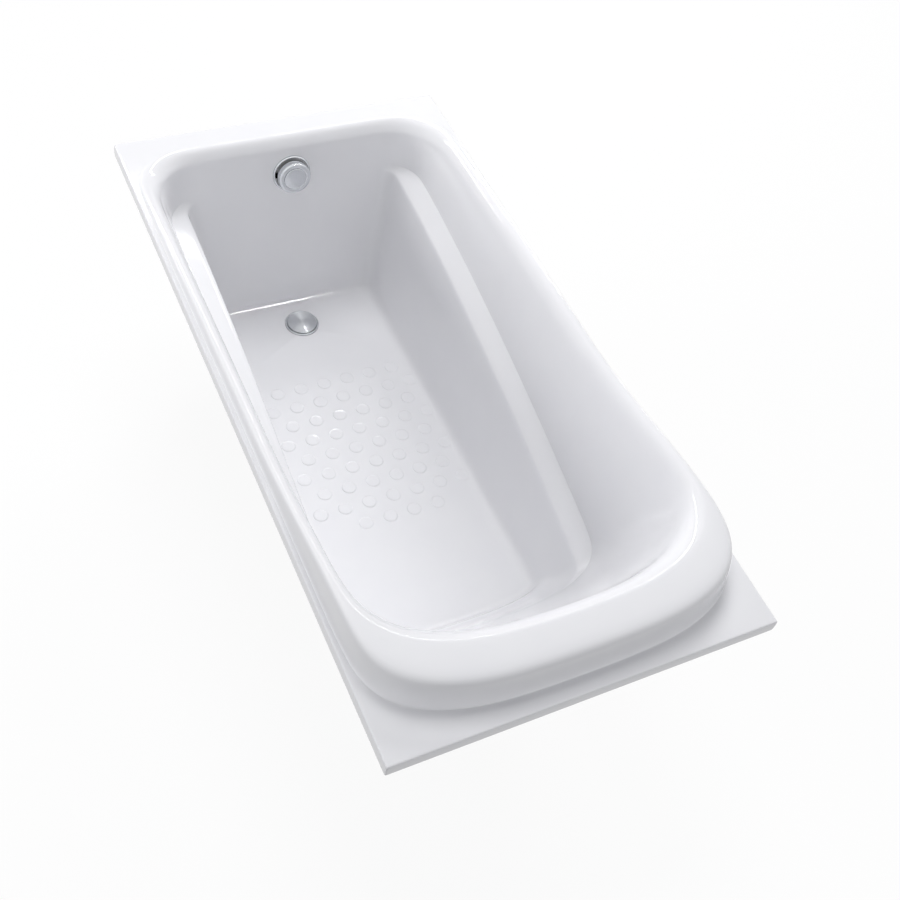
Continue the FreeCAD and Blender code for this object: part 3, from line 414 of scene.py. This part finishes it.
def shell_rings():
    """Underside rings from the middle out to the flange, then the upper rings back to the middle."""
    step = flange_edge_round
    deep = flange_turn_down
    crisp = flange_crisp
    basin = basin_rings()
    top = [flange_ring(*place) for place in ((0, deep / 2), (0, step), (step, 0), (shell_wall + step, 0))]
    rest = between(top[-1], basin[0], flange_rest_share)
    under = set_in([rest] + basin, top[-1], shell_wall)
    inner = [flange_ring(*place) for place in (
        (shell_wall + step, shell_wall), (shell_wall + step / 2, shell_wall + step / 4),
        (shell_wall, shell_wall + step), (shell_wall, deep / 2))]
    edge = [flange_ring(*place) for place in (
        (shell_wall, deep - crisp), (shell_wall - crisp, deep), (crisp, deep), (0, deep - crisp))]
    hidden = under[::-1] + inner
    return hidden, edge + top + [rest] + basin


# Modelling helpers


def deselect():
    """Leaves nothing selected, so that an operator acts on the next piece alone."""
    if bpy.context.mode != "OBJECT":
        bpy.ops.object.mode_set(mode="OBJECT")
    bpy.ops.object.select_all(action="DESELECT")


def named(piece, name):
    """Gives a piece and its mesh their name."""
    piece.name = name
    piece.data.name = name
    return piece


def pick(piece, wanted):
    """Selects the edges that a test names, in edit mode."""
    bpy.ops.mesh.select_all(action="DESELECT")
    drawn = bmesh.from_edit_mesh(piece.data)
    for edge in drawn.edges:
        if wanted(edge):
            edge.select_set(True)
    bmesh.update_edit_mesh(piece.data)


def draw_on(piece, order, ring, slot=face_slot):
    """Extrudes the selected loop once and sets each new point in place, by its number round the ring."""
    bpy.ops.mesh.extrude_edges_indiv()
    drawn = bmesh.from_edit_mesh(piece.data)
    drawn.verts.index_update()
    fresh = {}
    for vert in drawn.verts:
        if vert.select:
            old = next(e.other_vert(vert) for e in vert.link_edges if not e.other_vert(vert).select)
            fresh[vert.index] = order[old.index]
            vert.co = ring[order[old.index]]
            for face in vert.link_faces:
                face.material_index = slot
    bmesh.update_edit_mesh(piece.data)
    return fresh


def skin(name, rings, hidden=0, edge=0):
    """Open skin drawn ring by ring from a circle: hidden rings, then the turned-down edge, then the face."""
    deselect()
    bpy.ops.mesh.primitive_circle_add(vertices=len(rings[0]))
    piece = named(bpy.context.object, name)
    bpy.ops.object.mode_set(mode="EDIT")
    drawn = bmesh.from_edit_mesh(piece.data)
    for vert, place in zip(drawn.verts, rings[0]):
        vert.co = place
    order = {k: k for k in range(len(rings[0]))}
    slots = [back_slot] * hidden + [edge_slot] * edge + [face_slot] * (len(rings) - hidden - edge)
    for ring, slot in zip(rings[1:], slots[1:]):
        order = draw_on(piece, order, ring, slot)
    bpy.ops.object.mode_set(mode="OBJECT")
    return piece


def apply_modifier(piece, kind, **settings):
    """Adds a modifier with its settings and applies it."""
    deselect()
    piece.select_set(True)
    bpy.context.view_layer.objects.active = piece
    added = piece.modifiers.new(kind.lower(), kind)
    for name, value in settings.items():
        setattr(added, name, value)
    bpy.ops.object.modifier_apply(modifier=added.name)


def smooth(piece, degrees):
    """Smooth shading with the sharp edges kept."""
    deselect()
    piece.select_set(True)
    bpy.context.view_layer.objects.active = piece
    bpy.ops.object.shade_smooth_by_angle(angle=math.radians(degrees))


def edit(piece):
    """Opens a piece in edit mode with nothing selected."""
    deselect()
    piece.select_set(True)
    bpy.context.view_layer.objects.active = piece
    bpy.ops.object.mode_set(mode="EDIT")
    bpy.ops.mesh.select_mode(type="EDGE")
    bpy.ops.mesh.select_all(action="DESELECT")


def facing_out():
    """Turns every face of the open piece outwards."""
    bpy.ops.mesh.select_all(action="SELECT")
    bpy.ops.mesh.normals_make_consistent(inside=False)


def turned(name, profile, sides, at=Matrix()):
    """Piece turned about Z from (radius, height) points, its ends capped, then put in place."""
    turns = [2 * math.pi * k / sides for k in range(sides)]
    rings = []
    for radius, height in profile:
        rings.append([Vector((radius * math.cos(t), radius * math.sin(t), height)) for t in turns])
    piece = skin(name, rings)
    edit(piece)
    pick(piece, lambda edge: edge.is_boundary)
    bpy.ops.mesh.edge_face_add()
    facing_out()
    bpy.ops.object.mode_set(mode="OBJECT")
    piece.data.transform(at)
    smooth(piece, sharp_angle)
    return piece


# Finishes


def linear(colour):
    """Linear colour from an sRGB hex value."""
    parts = [int(colour[k:k + 2], 16) / 255 for k in (1, 3, 5)]
    return [c / 12.92 if c <= 0.04045 else ((c + 0.055) / 1.055) ** 2.4 for c in parts] + [1.0]


def add(tree, kind, inputs=(), **settings):
    """Adds a node with its settings; an input is a number, a colour or another node's socket."""
    made = tree.nodes.new("ShaderNode" + kind)
    for name, value in settings.items():
        setattr(made, name, value)
    for socket, value in dict(inputs).items():
        if isinstance(value, bpy.types.NodeSocket):
            tree.links.new(value, made.inputs[socket])
        else:
            made.inputs[socket].default_value = value
    return made


def begin(name):
    """New material with an empty tree, and the place on the piece that its patterns read."""
    material = bpy.data.materials.new(name)
    material.use_nodes = True
    tree = material.node_tree
    tree.nodes.clear()
    return material, tree, add(tree, "TexCoord").outputs["Object"]


def finish(tree, inputs):
    """Closes a material with its shader."""
    shader = add(tree, "BsdfPrincipled", inputs)
    add(tree, "OutputMaterial", {"Surface": shader.outputs["BSDF"]})


def cast_acrylic():
    """Cast acrylic sheet, vacuum formed: a deep clean gloss with the slow waviness that forming leaves."""
    material, tree, place = begin("cast_acrylic")
    wave_size = 0.070
    haze_size = 0.018
    wave = add(tree, "TexNoise", {"Vector": place, "Scale": 1 / wave_size, "Detail": 1.0})
    haze = add(tree, "TexNoise", {"Vector": place, "Scale": 1 / haze_size, "Detail": 4.0})
    gloss = add(tree, "MapRange", {"Value": haze.outputs["Fac"], "From Min": 0.3, "From Max": 0.7,
                                   "To Min": 0.05, "To Max": 0.08})
    tint = add(tree, "Mix", {"Factor": wave.outputs["Fac"], 6: linear("#ececee"), 7: linear("#e9e9ec")},
               data_type="RGBA")
    bump = add(tree, "Bump", {"Height": wave.outputs["Fac"], "Strength": 0.02, "Distance": 0.001})
    finish(tree, {"Base Color": tint.outputs[2], "Roughness": gloss.outputs["Result"], "IOR": 1.49,
                  "Normal": bump.outputs["Normal"]})
    return material


def glass_fibre():
    """Polyester with chopped glass strands, sprayed on the back: pale and rough, with strands every way."""
    material, tree, place = begin("glass_fibre")
    strand_length = 0.040
    strand_width = 0.0022
    lay = None
    for turn in ((0.3, 0.2, 0.5), (1.4, 0.4, 1.7), (0.5, 1.3, 2.6), (2.0, 0.9, 0.1)):
        laid = add(tree, "Mapping", {"Vector": place, "Rotation": turn,
                                     "Scale": (1 / strand_length, 1 / strand_width, 1 / strand_width)})
        strand = add(tree, "TexNoise", {"Vector": laid.outputs["Vector"], "Scale": 1.0, "Detail": 1.0})
        sharp = add(tree, "MapRange", {"Value": strand.outputs["Fac"], "From Min": 0.52, "From Max": 0.70})
        lay = sharp.outputs["Result"] if lay is None else add(
            tree, "Math", {0: lay, 1: sharp.outputs["Result"]}, operation="MAXIMUM").outputs["Value"]
    tint = add(tree, "Mix", {"Factor": lay, 6: linear("#cfccc2"), 7: linear("#e9e8e2")}, data_type="RGBA")
    rough = add(tree, "MapRange", {"Value": lay, "To Min": 0.42, "To Max": 0.68})
    bump = add(tree, "Bump", {"Height": lay, "Strength": 0.55, "Distance": 0.0006})
    finish(tree, {"Base Color": tint.outputs[2], "Roughness": rough.outputs["Result"], "IOR": 1.54,
                  "Normal": bump.outputs["Normal"]})
    return material


def chrome_plate(name, centre, axis, turned_share, painted_shade_radius=0.0):
    """Polished chrome plate: mirror bright with faint smears, streaked round its axis where it was turned on
    a lathe, and with shade painted dark into its colour inside a radius, within a ring."""
    material, tree, place = begin(name)
    smear_size = 0.012
    rough_low = mix(0.06, 0.42, turned_share)
    rough_high = mix(0.12, 0.50, turned_share)
    out = add(tree, "VectorMath", {0: place, 1: centre}, operation="SUBTRACT")
    way = add(tree, "VectorMath", {0: axis, 1: out.outputs["Vector"]}, operation="CROSS_PRODUCT")
    streak = add(tree, "VectorTransform", {"Vector": way.outputs["Vector"]}, vector_type="VECTOR",
                 convert_from="OBJECT", convert_to="WORLD")
    radius = add(tree, "VectorMath", {0: way.outputs["Vector"]}, operation="LENGTH")
    smear = add(tree, "TexNoise", {"Vector": place, "Scale": 1 / smear_size, "Detail": 3.0})
    rough = add(tree, "MapRange", {"Value": smear.outputs["Fac"], "From Min": 0.3, "From Max": 0.75,
                                   "To Min": rough_low, "To Max": rough_high})
    tint = add(tree, "Mix", {"Factor": smear.outputs["Fac"], 6: linear("#e2e4e7"), 7: linear("#d8dbde")},
               data_type="RGBA")
    # Painted shade: the chrome's colour turns dark inside the given radius
    ring = add(tree, "MapRange", {"Value": radius.outputs["Value"], "From Min": painted_shade_radius - painted_shade_blend,
                                  "From Max": painted_shade_radius})
    shade = add(tree, "Mix", {"Factor": ring.outputs["Result"], 6: linear("#34363a"), 7: tint.outputs[2]},
                data_type="RGBA")
    finish(tree, {"Base Color": shade.outputs[2], "Metallic": 1.0, "Roughness": rough.outputs["Result"],
                  "Anisotropic": 0.9 * turned_share, "Anisotropic Rotation": 0.25,
                  "Tangent": streak.outputs["Vector"]})
    return material


def moulded_plastic(name, light, dark, rough_low, rough_high, grain_size):
    """Moulded plastic: one colour all through, with the fine grain of the mould and a slow gloss drift."""
    material, tree, place = begin(name)
    drift_size = 0.045
    grain = add(tree, "TexNoise", {"Vector": place, "Scale": 1 / grain_size, "Detail": 3.0})
    drift = add(tree, "TexNoise", {"Vector": place, "Scale": 1 / drift_size, "Detail": 2.0})
    tint = add(tree, "Mix", {"Factor": drift.outputs["Fac"], 6: linear(light), 7: linear(dark)},
               data_type="RGBA")
    rough = add(tree, "MapRange", {"Value": drift.outputs["Fac"], "From Min": 0.3, "From Max": 0.7,
                                   "To Min": rough_low, "To Max": rough_high})
    bump = add(tree, "Bump", {"Height": grain.outputs["Fac"], "Strength": 0.18, "Distance": 0.0002})
    finish(tree, {"Base Color": tint.outputs[2], "Roughness": rough.outputs["Result"], "IOR": 1.49,
                  "Normal": bump.outputs["Normal"]})
    return material


def zinc_plated_steel():
    """Zinc plated steel sheet and bar: soft grey metal with a faint spangle and handling marks."""
    material, tree, place = begin("zinc_plated_steel")
    spangle_size = 0.009
    mark_size = 0.025
    cells = add(tree, "TexVoronoi", {"Vector": place, "Scale": 1 / spangle_size})
    marks = add(tree, "TexNoise", {"Vector": place, "Scale": 1 / mark_size, "Detail": 5.0})
    tone = add(tree, "Mix", {"Factor": cells.outputs["Color"], 6: linear("#aeb3b8"), 7: linear("#c3c7cb")},
               data_type="RGBA")
    rough = add(tree, "MapRange", {"Value": marks.outputs["Fac"], "From Min": 0.3, "From Max": 0.7,
                                   "To Min": 0.28, "To Max": 0.46})
    bump = add(tree, "Bump", {"Height": marks.outputs["Fac"], "Strength": 0.08, "Distance": 0.0004})
    finish(tree, {"Base Color": tone.outputs[2], "Metallic": 1.0, "Roughness": rough.outputs["Result"],
                  "Normal": bump.outputs["Normal"]})
    return material


def turned_brass():
    """Turned brass bar: warm yellow metal, slightly dulled in patches."""
    material, tree, place = begin("turned_brass")
    dull_size = 0.008
    dull = add(tree, "TexNoise", {"Vector": place, "Scale": 1 / dull_size, "Detail": 4.0})
    tint = add(tree, "Mix", {"Factor": dull.outputs["Fac"], 6: linear("#d2b168"), 7: linear("#a98444")},
               data_type="RGBA")
    rough = add(tree, "MapRange", {"Value": dull.outputs["Fac"], "From Min": 0.3, "From Max": 0.7,
                                   "To Min": 0.20, "To Max": 0.36})
    bump = add(tree, "Bump", {"Height": dull.outputs["Fac"], "Strength": 0.1, "Distance": 0.0002})
    finish(tree, {"Base Color": tint.outputs[2], "Metallic": 1.0, "Roughness": rough.outputs["Result"],
                  "Normal": bump.outputs["Normal"]})
    return material


def chipboard():
    """Raw chipboard: pressed wood chips of several tones, flat and matt, with open pits between them."""
    material, tree, place = begin("chipboard")
    chip_size = 0.0045
    pit_size = 0.002
    laid = add(tree, "Mapping", {"Vector": place, "Scale": (0.6, 1.0, 1.6)})
    chips = add(tree, "TexVoronoi", {"Vector": laid.outputs["Vector"], "Scale": 1 / chip_size,
                                     "Randomness": 1.0})
    pits = add(tree, "TexNoise", {"Vector": place, "Scale": 1 / pit_size, "Detail": 4.0})
    tone = add(tree, "Mix", {"Factor": chips.outputs["Color"], 6: linear("#9c7a4e"), 7: linear("#cfae7e")},
               data_type="RGBA")
    worn = add(tree, "Mix", {"Factor": pits.outputs["Fac"], 6: tone.outputs[2], 7: linear("#a68659")},
               data_type="RGBA")
    bump = add(tree, "Bump", {"Height": pits.outputs["Fac"], "Strength": 0.4, "Distance": 0.0005})
    finish(tree, {"Base Color": worn.outputs[2], "Roughness": 0.82, "Normal": bump.outputs["Normal"]})
    return material


finishes = {
    "acrylic": cast_acrylic(),
    "fibre": glass_fibre(),
    # Painted shade: grey on the turned-down edge, which is white acrylic like the rest of the sheet
    "edge": moulded_plastic("painted_shade_edge_grey", "#a8a8ac", "#9c9ca0", 0.30, 0.44, 0.0012),
    "drain_chrome": chrome_plate("drain_chrome_plate", (drain_x, 0, 0), (0, 0, 1), 0.0),
    "plug_chrome": chrome_plate("turned_chrome_plate", (drain_x, 0, 0), (0, 0, 1), 1.0),
    "overflow_chrome": chrome_plate("overflow_chrome_plate", overflow_at.translation, overflow_axis, 0.0),
    # The overflow plate's chrome has painted shade inside its ring
    "plate_chrome": chrome_plate("overflow_plate_chrome", overflow_at.translation, overflow_axis, 0.0,
                                 plate_painted_shade_radius),
    "rubber": moulded_plastic("black_rubber", "#232426", "#1a1b1c", 0.62, 0.78, 0.0008),
    "waste_plastic": moulded_plastic("white_polypropylene", "#e6e6e3", "#dcdcd8", 0.34, 0.48, 0.0010),
    "cable_sheath": moulded_plastic("black_vinyl_sheath", "#1e1f21", "#161719", 0.38, 0.52, 0.0012),
    "foot_plastic": moulded_plastic("black_polyamide", "#26272a", "#1c1d1f", 0.42, 0.58, 0.0009),
    "brass": turned_brass(),
    "zinc_steel": zinc_plated_steel(),
    "board": chipboard(),
}


# Pieces


def settle(piece, node, finish_name, slot):
    """Puts a finished piece in the place of a solid, which it hides: its finish and its body."""
    piece.data.materials.clear()
    piece.data.materials.append(finishes[finish_name])
    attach(piece, frame["nodes"][node]["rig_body"])
    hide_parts(node)
    return piece


def dot_spots():
    """Middles of the anti-slip dots, in staggered rows."""
    spots = []
    row_pitch = dot_pitch * math.sin(math.pi / 3)
    for row, count in enumerate(dot_counts):
        x = drain_x + dot_rows_start + row * row_pitch
        for k in range(count):
            y = dot_field_shift + (k - (count - 1) / 2) * dot_pitch
            spots.append(Vector((x, y, floor_z(x))))
    return spots


def on_floor(edge):
    """True for an edge on the upper side of the floor."""
    return all(abs(v.co.z - floor_z(v.co.x)) < shell_wall / 4 for v in edge.verts)


def by_drain(edge):
    """True for an edge round the drain."""
    reach = drain_boss_radius + shell_wall
    return all(math.hypot(v.co.x - drain_x, v.co.y) < reach for v in edge.verts)


def picked_loop(piece):
    """The selected points: their number by index, and their places."""
    drawn = bmesh.from_edit_mesh(piece.data)
    drawn.verts.index_update()
    loop = [v for v in drawn.verts if v.select]
    return {v.index: k for k, v in enumerate(loop)}, [v.co.copy() for v in loop]


def fill_floor(piece):
    """Closes the upper floor between its edge and the drain."""
    tilt = (0, -math.atan(floor_fall), 0)
    bpy.ops.mesh.primitive_circle_add(vertices=drain_sides, radius=drain_seat_radius + drain_seat_round,
                                      location=(drain_x, 0, floor_z(drain_x)), rotation=tilt)
    pick(piece, lambda edge: (edge.is_wire or edge.is_boundary) and on_floor(edge))
    bpy.ops.mesh.fill(use_beauty=True)


def floor_dots():
    """Low round domes, one piece, each tilted as the floor is and set a little into it."""
    profile = [(dot_radius, -dot_height)]
    profile += [(dot_radius * share, dot_height * rise) for share, rise in dot_shares]
    tilt = Matrix.Rotation(-math.atan(floor_fall), 4, "Y")
    dome = turned("floor_dot", profile, dot_sides)
    dots = [dome]
    for spot in dot_spots():
        dot = bpy.data.objects.new("floor_dot", dome.data.copy())
        dot.data.transform(Matrix.Translation(spot) @ tilt)
        bpy.context.scene.collection.objects.link(dot)
        dots.append(dot)
    bpy.data.objects.remove(dots.pop(0))
    deselect()
    for dot in dots:
        dot.select_set(True)
    bpy.context.view_layer.objects.active = dots[0]
    bpy.ops.object.join()
    return dots[0]


def sink_drain(piece):
    """Draws the drain's edge down to its seat, through the hole and round the boss to the underside."""
    pick(piece, lambda edge: edge.is_boundary and on_floor(edge) and by_drain(edge))
    order, base = picked_loop(piece)
    ways = [Vector((place.x - drain_x, place.y)).normalized() for place in base]
    floor = seat_z + drain_seat_depth
    boss_bottom = seat_z - shell_wall
    lead = drain_seat_round * seat_lead_share
    steps = ((drain_seat_radius + lead, floor - lead),
             (drain_seat_radius, floor - drain_seat_round), (drain_seat_radius, seat_z),
             (drain_hole_radius, seat_z), (drain_hole_radius, boss_bottom), (drain_boss_radius, boss_bottom))
    for radius, height in steps:
        ring = [Vector((drain_x + w.x * radius, w.y * radius, height)) for w in ways]
        order = draw_on(piece, order, ring, back_slot if height == boss_bottom else face_slot)
    ring = [Vector((drain_x + w.x * drain_boss_radius, w.y * drain_boss_radius,
                    floor_under(drain_x + w.x * drain_boss_radius))) for w in ways]
    draw_on(piece, order, ring, back_slot)
    pick(piece, lambda edge: edge.is_boundary)
    bpy.ops.mesh.fill(use_beauty=True)
    closed = bmesh.from_edit_mesh(piece.data)
    for face in closed.faces:
        if face.select:
            face.material_index = back_slot


def crease_rings(piece, start, around):
    """Creases the lip's foot, the headrest's inner edge and the ledge's edges, so that smoothing keeps them
    crisp."""
    edit(piece)
    for number, share in crisp_shares:
        pick(piece, lambda edge: all(v.index // around == start + number for v in edge.verts))
        bpy.ops.transform.edge_crease(value=share)
    bpy.ops.object.mode_set(mode="OBJECT")


def bath_shell():
    """The moulding: gloss sheet above, fibre below, the turned-down edge painted grey as shade, dots, drain
    seat and overflow hole.
    """
    hidden, shown = shell_rings()
    piece = skin("bath_shell", hidden + shown, len(hidden), edge_count)
    crease_rings(piece, len(hidden) + len(shown) - len(basin_rings()), len(shown[0]))
    apply_modifier(piece, "SUBSURF", levels=2, render_levels=2)
    edit(piece)
    fill_floor(piece)
    sink_drain(piece)
    facing_out()
    deselect()
    dots = floor_dots()
    apply_modifier(piece, "BOOLEAN", operation="UNION", object=dots, solver="EXACT")
    bpy.data.objects.remove(dots)
    deselect()
    bpy.ops.mesh.primitive_cylinder_add(vertices=drain_sides, radius=overflow_hole_radius,
                                        depth=overflow_cut_length)
    cutter = bpy.context.object
    cutter.data.transform(overflow_at)
    apply_modifier(piece, "BOOLEAN", operation="DIFFERENCE", object=cutter, solver="EXACT")
    bpy.data.objects.remove(cutter)
    smooth(piece, shell_sharp_angle)
    settle(piece, "tub_shell", "acrylic", "acrylic_shell")
    piece.data.materials.append(finishes["fibre"])
    # The third material is the grey painted shade on the turned-down edge.
    piece.data.materials.append(finishes["edge"])


def round_size(node, at):
    """Lowest and highest place of a round solid along its axis, and its radius."""
    solid = frame["nodes"][node]
    back = at.inverted() @ solid.matrix_world
    spots = [back @ vert.co for vert in solid.data.vertices]
    return min(s.z for s in spots), max(s.z for s in spots), max(math.hypot(s.x, s.y) for s in spots)


def plug_cap():
    """Pop-up plug: shallow dome with a rounded edge and a hollow underside."""
    low, high, radius = round_size("plug_cap", drain_at)
    edge = low + plug_edge
    rise = high - edge
    ball = (radius ** 2 + rise ** 2) / (2 * rise)
    start = math.degrees(math.acos((radius - plug_round) / ball))
    profile = [(radius - plug_skirt, edge - plug_round), (radius - plug_skirt, low)]
    profile += arc(radius - plug_round, low + plug_round, plug_round, -90, 0, edge_steps)
    profile += arc(radius - plug_round, edge - plug_round / 2, plug_round, 0, plug_edge_turn, edge_steps)
    profile += arc(0, high - ball, ball, start, dome_turn, dome_steps)
    dome = turned("plug_dome", profile, drain_sides, drain_at)
    settle(dome, "plug_cap", "plug_chrome", "chrome")


def overflow_knob():
    """Turning knob: deep ring with rounded edges and a stepped seat for its cap."""
    back, front, radius = round_size("overflow_knob", overflow_at)
    seat = round_size("knob_cap", overflow_at)[2] + cap_groove
    inner = radius - knob_wall
    profile = [(inner, front - knob_round), (inner, back)]
    profile += arc(radius - knob_edge, back + knob_edge, knob_edge, -90, 0, edge_steps)
    profile += arc(radius - knob_round, front - knob_round, knob_round, 0, 90, round_steps)
    profile += arc(seat + knob_edge, front - knob_edge, knob_edge, 90, 180, edge_steps)
    profile += [(seat, front - cap_groove_depth)]
    ring = turned("knob_ring", profile, drain_sides, overflow_at)
    settle(ring, "overflow_knob", "overflow_chrome", "chrome")


def knob_cap():
    """Cap in the knob's face, with a rounded edge."""
    low, high, radius = round_size("knob_cap", overflow_at)
    profile = [(radius - knob_edge, low)]
    profile += arc(radius - knob_edge, high - knob_edge, knob_edge, 0, 90, cap_steps)
    button = turned("knob_button", profile, drain_sides, overflow_at)
    settle(button, "knob_cap", "overflow_chrome", "chrome")


def dressed(node, finish_name, slot, bevel):
    """A solid's own shape with its flats cleaned and its sharp edges rounded."""
    solid = frame["nodes"][node]
    piece = bpy.data.objects.new(node + "_dressed", solid.data.copy())
    piece.data.transform(solid.matrix_world)
    bpy.context.scene.collection.objects.link(piece)
    edit(piece)
    bpy.ops.mesh.select_all(action="SELECT")
    bpy.ops.mesh.remove_doubles(threshold=merge_gap)
    bpy.ops.mesh.dissolve_limited(angle_limit=math.radians(flat_angle))
    facing_out()
    bpy.ops.object.mode_set(mode="OBJECT")
    apply_modifier(piece, "BEVEL", width=bevel, segments=2, limit_method="ANGLE",
                   angle_limit=math.radians(sharp_angle))
    smooth(piece, sharp_angle)
    settle(piece, node, finish_name, slot)


def nodes_of(start):
    """Names of the solids that begin alike."""
    return tuple(name for name in frame["nodes"] if name.startswith(start))


bath_shell()
plug_cap()
overflow_knob()
knob_cap()

# Finish, slot and edge round of the other solids, by material
dressings = (
    ("drain_chrome", "chrome", 0.0004, ("drain_flange",)),
    ("plate_chrome", "chrome", 0.0005, ("overflow_plate",)),
    ("rubber", "rubber", 0.0003, ("drain_upper_seal", "drain_lower_seal", "plug_seal", "overflow_gasket")),
    ("brass", "brass", 0.0003, (
        "plug_stem", "plug_height_screw", "lift_lever", "knob_spindle", "cable_lower_gland",
        "cable_upper_gland")),
    ("waste_plastic", "waste_plastic", 0.0006, (
        "waste_body", "overflow_housing", "cable_drum", "overflow_pipe", "pipe_upper_nut", "pipe_lower_nut",
        "trap_bend", "trap_inlet_nut", "trap_outlet_nut", "trap_outlet_pipe")),
    ("cable_sheath", "cable_sheath", 0.0003, ("release_cable",)),
    ("board", "board", 0.0006, ("base_board",)),
    ("zinc_steel", "zinc_steel", 0.0004, nodes_of(("leg_stud", "rim_clip")) + (
        "lever_pin", "overflow_screws", "foot_end_rail", "head_end_rail", "rail_screws", "leg_lower_nuts",
        "leg_upper_nuts")),
    ("foot_plastic", "foot_plastic", 0.0010, nodes_of("leg_pad")),
)
for finish_name, slot, bevel, nodes in dressings:
    for node in nodes:
        dressed(node, finish_name, slot, bevel)


# Stage: pale floor, white surround, soft lamps, and the camera at the photograph's place


def studio_floor():
    """Pale floor that is nearly white to the eye, keeps a soft shadow and throws little light back up."""
    floor_size = 14.0
    under_feet = -0.0004
    white_share = 0.92
    deselect()
    bpy.ops.mesh.primitive_plane_add(size=floor_size, location=(0, 0, under_feet))
    floor = named(bpy.context.object, "studio_floor")
    material, tree, place = begin("pale_floor")
    grain = add(tree, "TexNoise", {"Vector": place, "Scale": 3.0, "Detail": 2.0})
    tone = add(tree, "Mix", {"Factor": grain.outputs["Fac"], 6: linear("#f4f4f4"), 7: linear("#f1f1f1")},
               data_type="RGBA")
    seen = add(tree, "LightPath")
    thrown = add(tree, "Mix", {"Factor": seen.outputs["Is Camera Ray"], 6: linear("#38383a"),
                               7: tone.outputs[2]}, data_type="RGBA")
    paint = add(tree, "BsdfDiffuse", {"Color": thrown.outputs[2]})
    white = add(tree, "Emission", {"Color": (1, 1, 1, 1), "Strength": 1.0})
    direct = add(tree, "Math", {0: seen.outputs["Is Camera Ray"], 1: seen.outputs["Is Glossy Ray"]},
                 operation="MAXIMUM")
    share = add(tree, "Math", {0: direct.outputs["Value"], 1: white_share}, operation="MULTIPLY")
    both = add(tree, "MixShader", {0: share.outputs["Value"], 1: paint.outputs["BSDF"],
                                   2: white.outputs["Emission"]})
    add(tree, "OutputMaterial", {"Surface": both.outputs["Shader"]})
    floor.data.materials.append(material)


def studio_world():
    """White surround to the eye and in the chrome, and a plain cool light on the object."""
    world = bpy.data.worlds.new("studio")
    bpy.context.scene.world = world
    world.use_nodes = True
    tree = world.node_tree
    tree.nodes.clear()
    seen = add(tree, "LightPath")
    direct = add(tree, "Math", {0: seen.outputs["Is Camera Ray"], 1: seen.outputs["Is Glossy Ray"]},
                 operation="MAXIMUM")
    either = add(tree, "Math", {0: direct.outputs["Value"], 1: seen.outputs["Is Transmission Ray"]},
                 operation="MAXIMUM")
    tone = add(tree, "Mix", {"Factor": either.outputs["Value"], 6: linear("#8c8d90"), 7: (1, 1, 1, 1)},
               data_type="RGBA")
    light = add(tree, "Background", {"Color": tone.outputs[2], "Strength": 1.0})
    add(tree, "OutputWorld", {"Surface": light.outputs["Background"]})


def lamp(name, place, width, height, power, target=(0, 0, 0.5), spread=180):
    """Lamp of a width, height and power that faces a point and that the gloss doesn't show."""
    data = bpy.data.lights.new(name, "AREA")
    data.shape = "RECTANGLE"
    data.size = width
    data.size_y = height
    data.energy = power
    data.spread = math.radians(spread)
    made = bpy.data.objects.new(name, data)
    made.location = place
    made.rotation_euler = (Vector(target) - Vector(place)).to_track_quat("-Z", "Y").to_euler()
    made.visible_glossy = False
    bpy.context.scene.collection.objects.link(made)
    return made


def camera():
    """Camera at the photograph's place: high over the head end's left corner, rolled a little."""
    place = Vector((1.3541, -0.8544, 2.3756))
    aim = Vector((0.2245, -0.0236, rim_height))
    roll = math.radians(14.507)
    data = bpy.data.cameras.new("camera")
    data.sensor_width = 36.0
    data.lens = 49.06
    data.clip_end = 40.0
    made = bpy.data.objects.new("camera", data)
    turn = (aim - place).to_track_quat("-Z", "Y").to_matrix().to_4x4() @ Matrix.Rotation(roll, 4, "Z")
    made.matrix_world = Matrix.Translation(place) @ turn
    bpy.context.scene.collection.objects.link(made)
    bpy.context.scene.camera = made


studio_floor()
studio_world()
# Soft square lamps: name, place and power in watts
soft_lamps = (
    ("key_lamp", (-3.2, 2.6, 3.4), 104),
    ("high_lamp", (-1.5, 0.2, 4.6), 92),
    ("side_lamp", (-1.6, -4.2, 1.2), 110),
    ("near_lamp", (4.2, 0.4, 1.6), 45),
)
lamp_size = 2.0
for name, place, power in soft_lamps:
    lamp(name, place, lamp_size, lamp_size, power)
# Two strips that only the gloss shows: bright lines on the headrest's inner edge and at the foot wall's base
foot_wall_base = (foot_wall_x(well_depth), 0, seat_z)
far_strip = lamp("far_strip", (-2.6, 0.4, 2.5), 5.4, 0.12, 36)
near_strip = lamp("near_strip", (2.3, 1.1, 2.7), 1.2, 0.2, 0.4, foot_wall_base, 9)
for strip in (far_strip, near_strip):
    strip.visible_glossy = True
    strip.visible_diffuse = False
camera()
bpy.context.scene.view_settings.view_transform = "Standard"
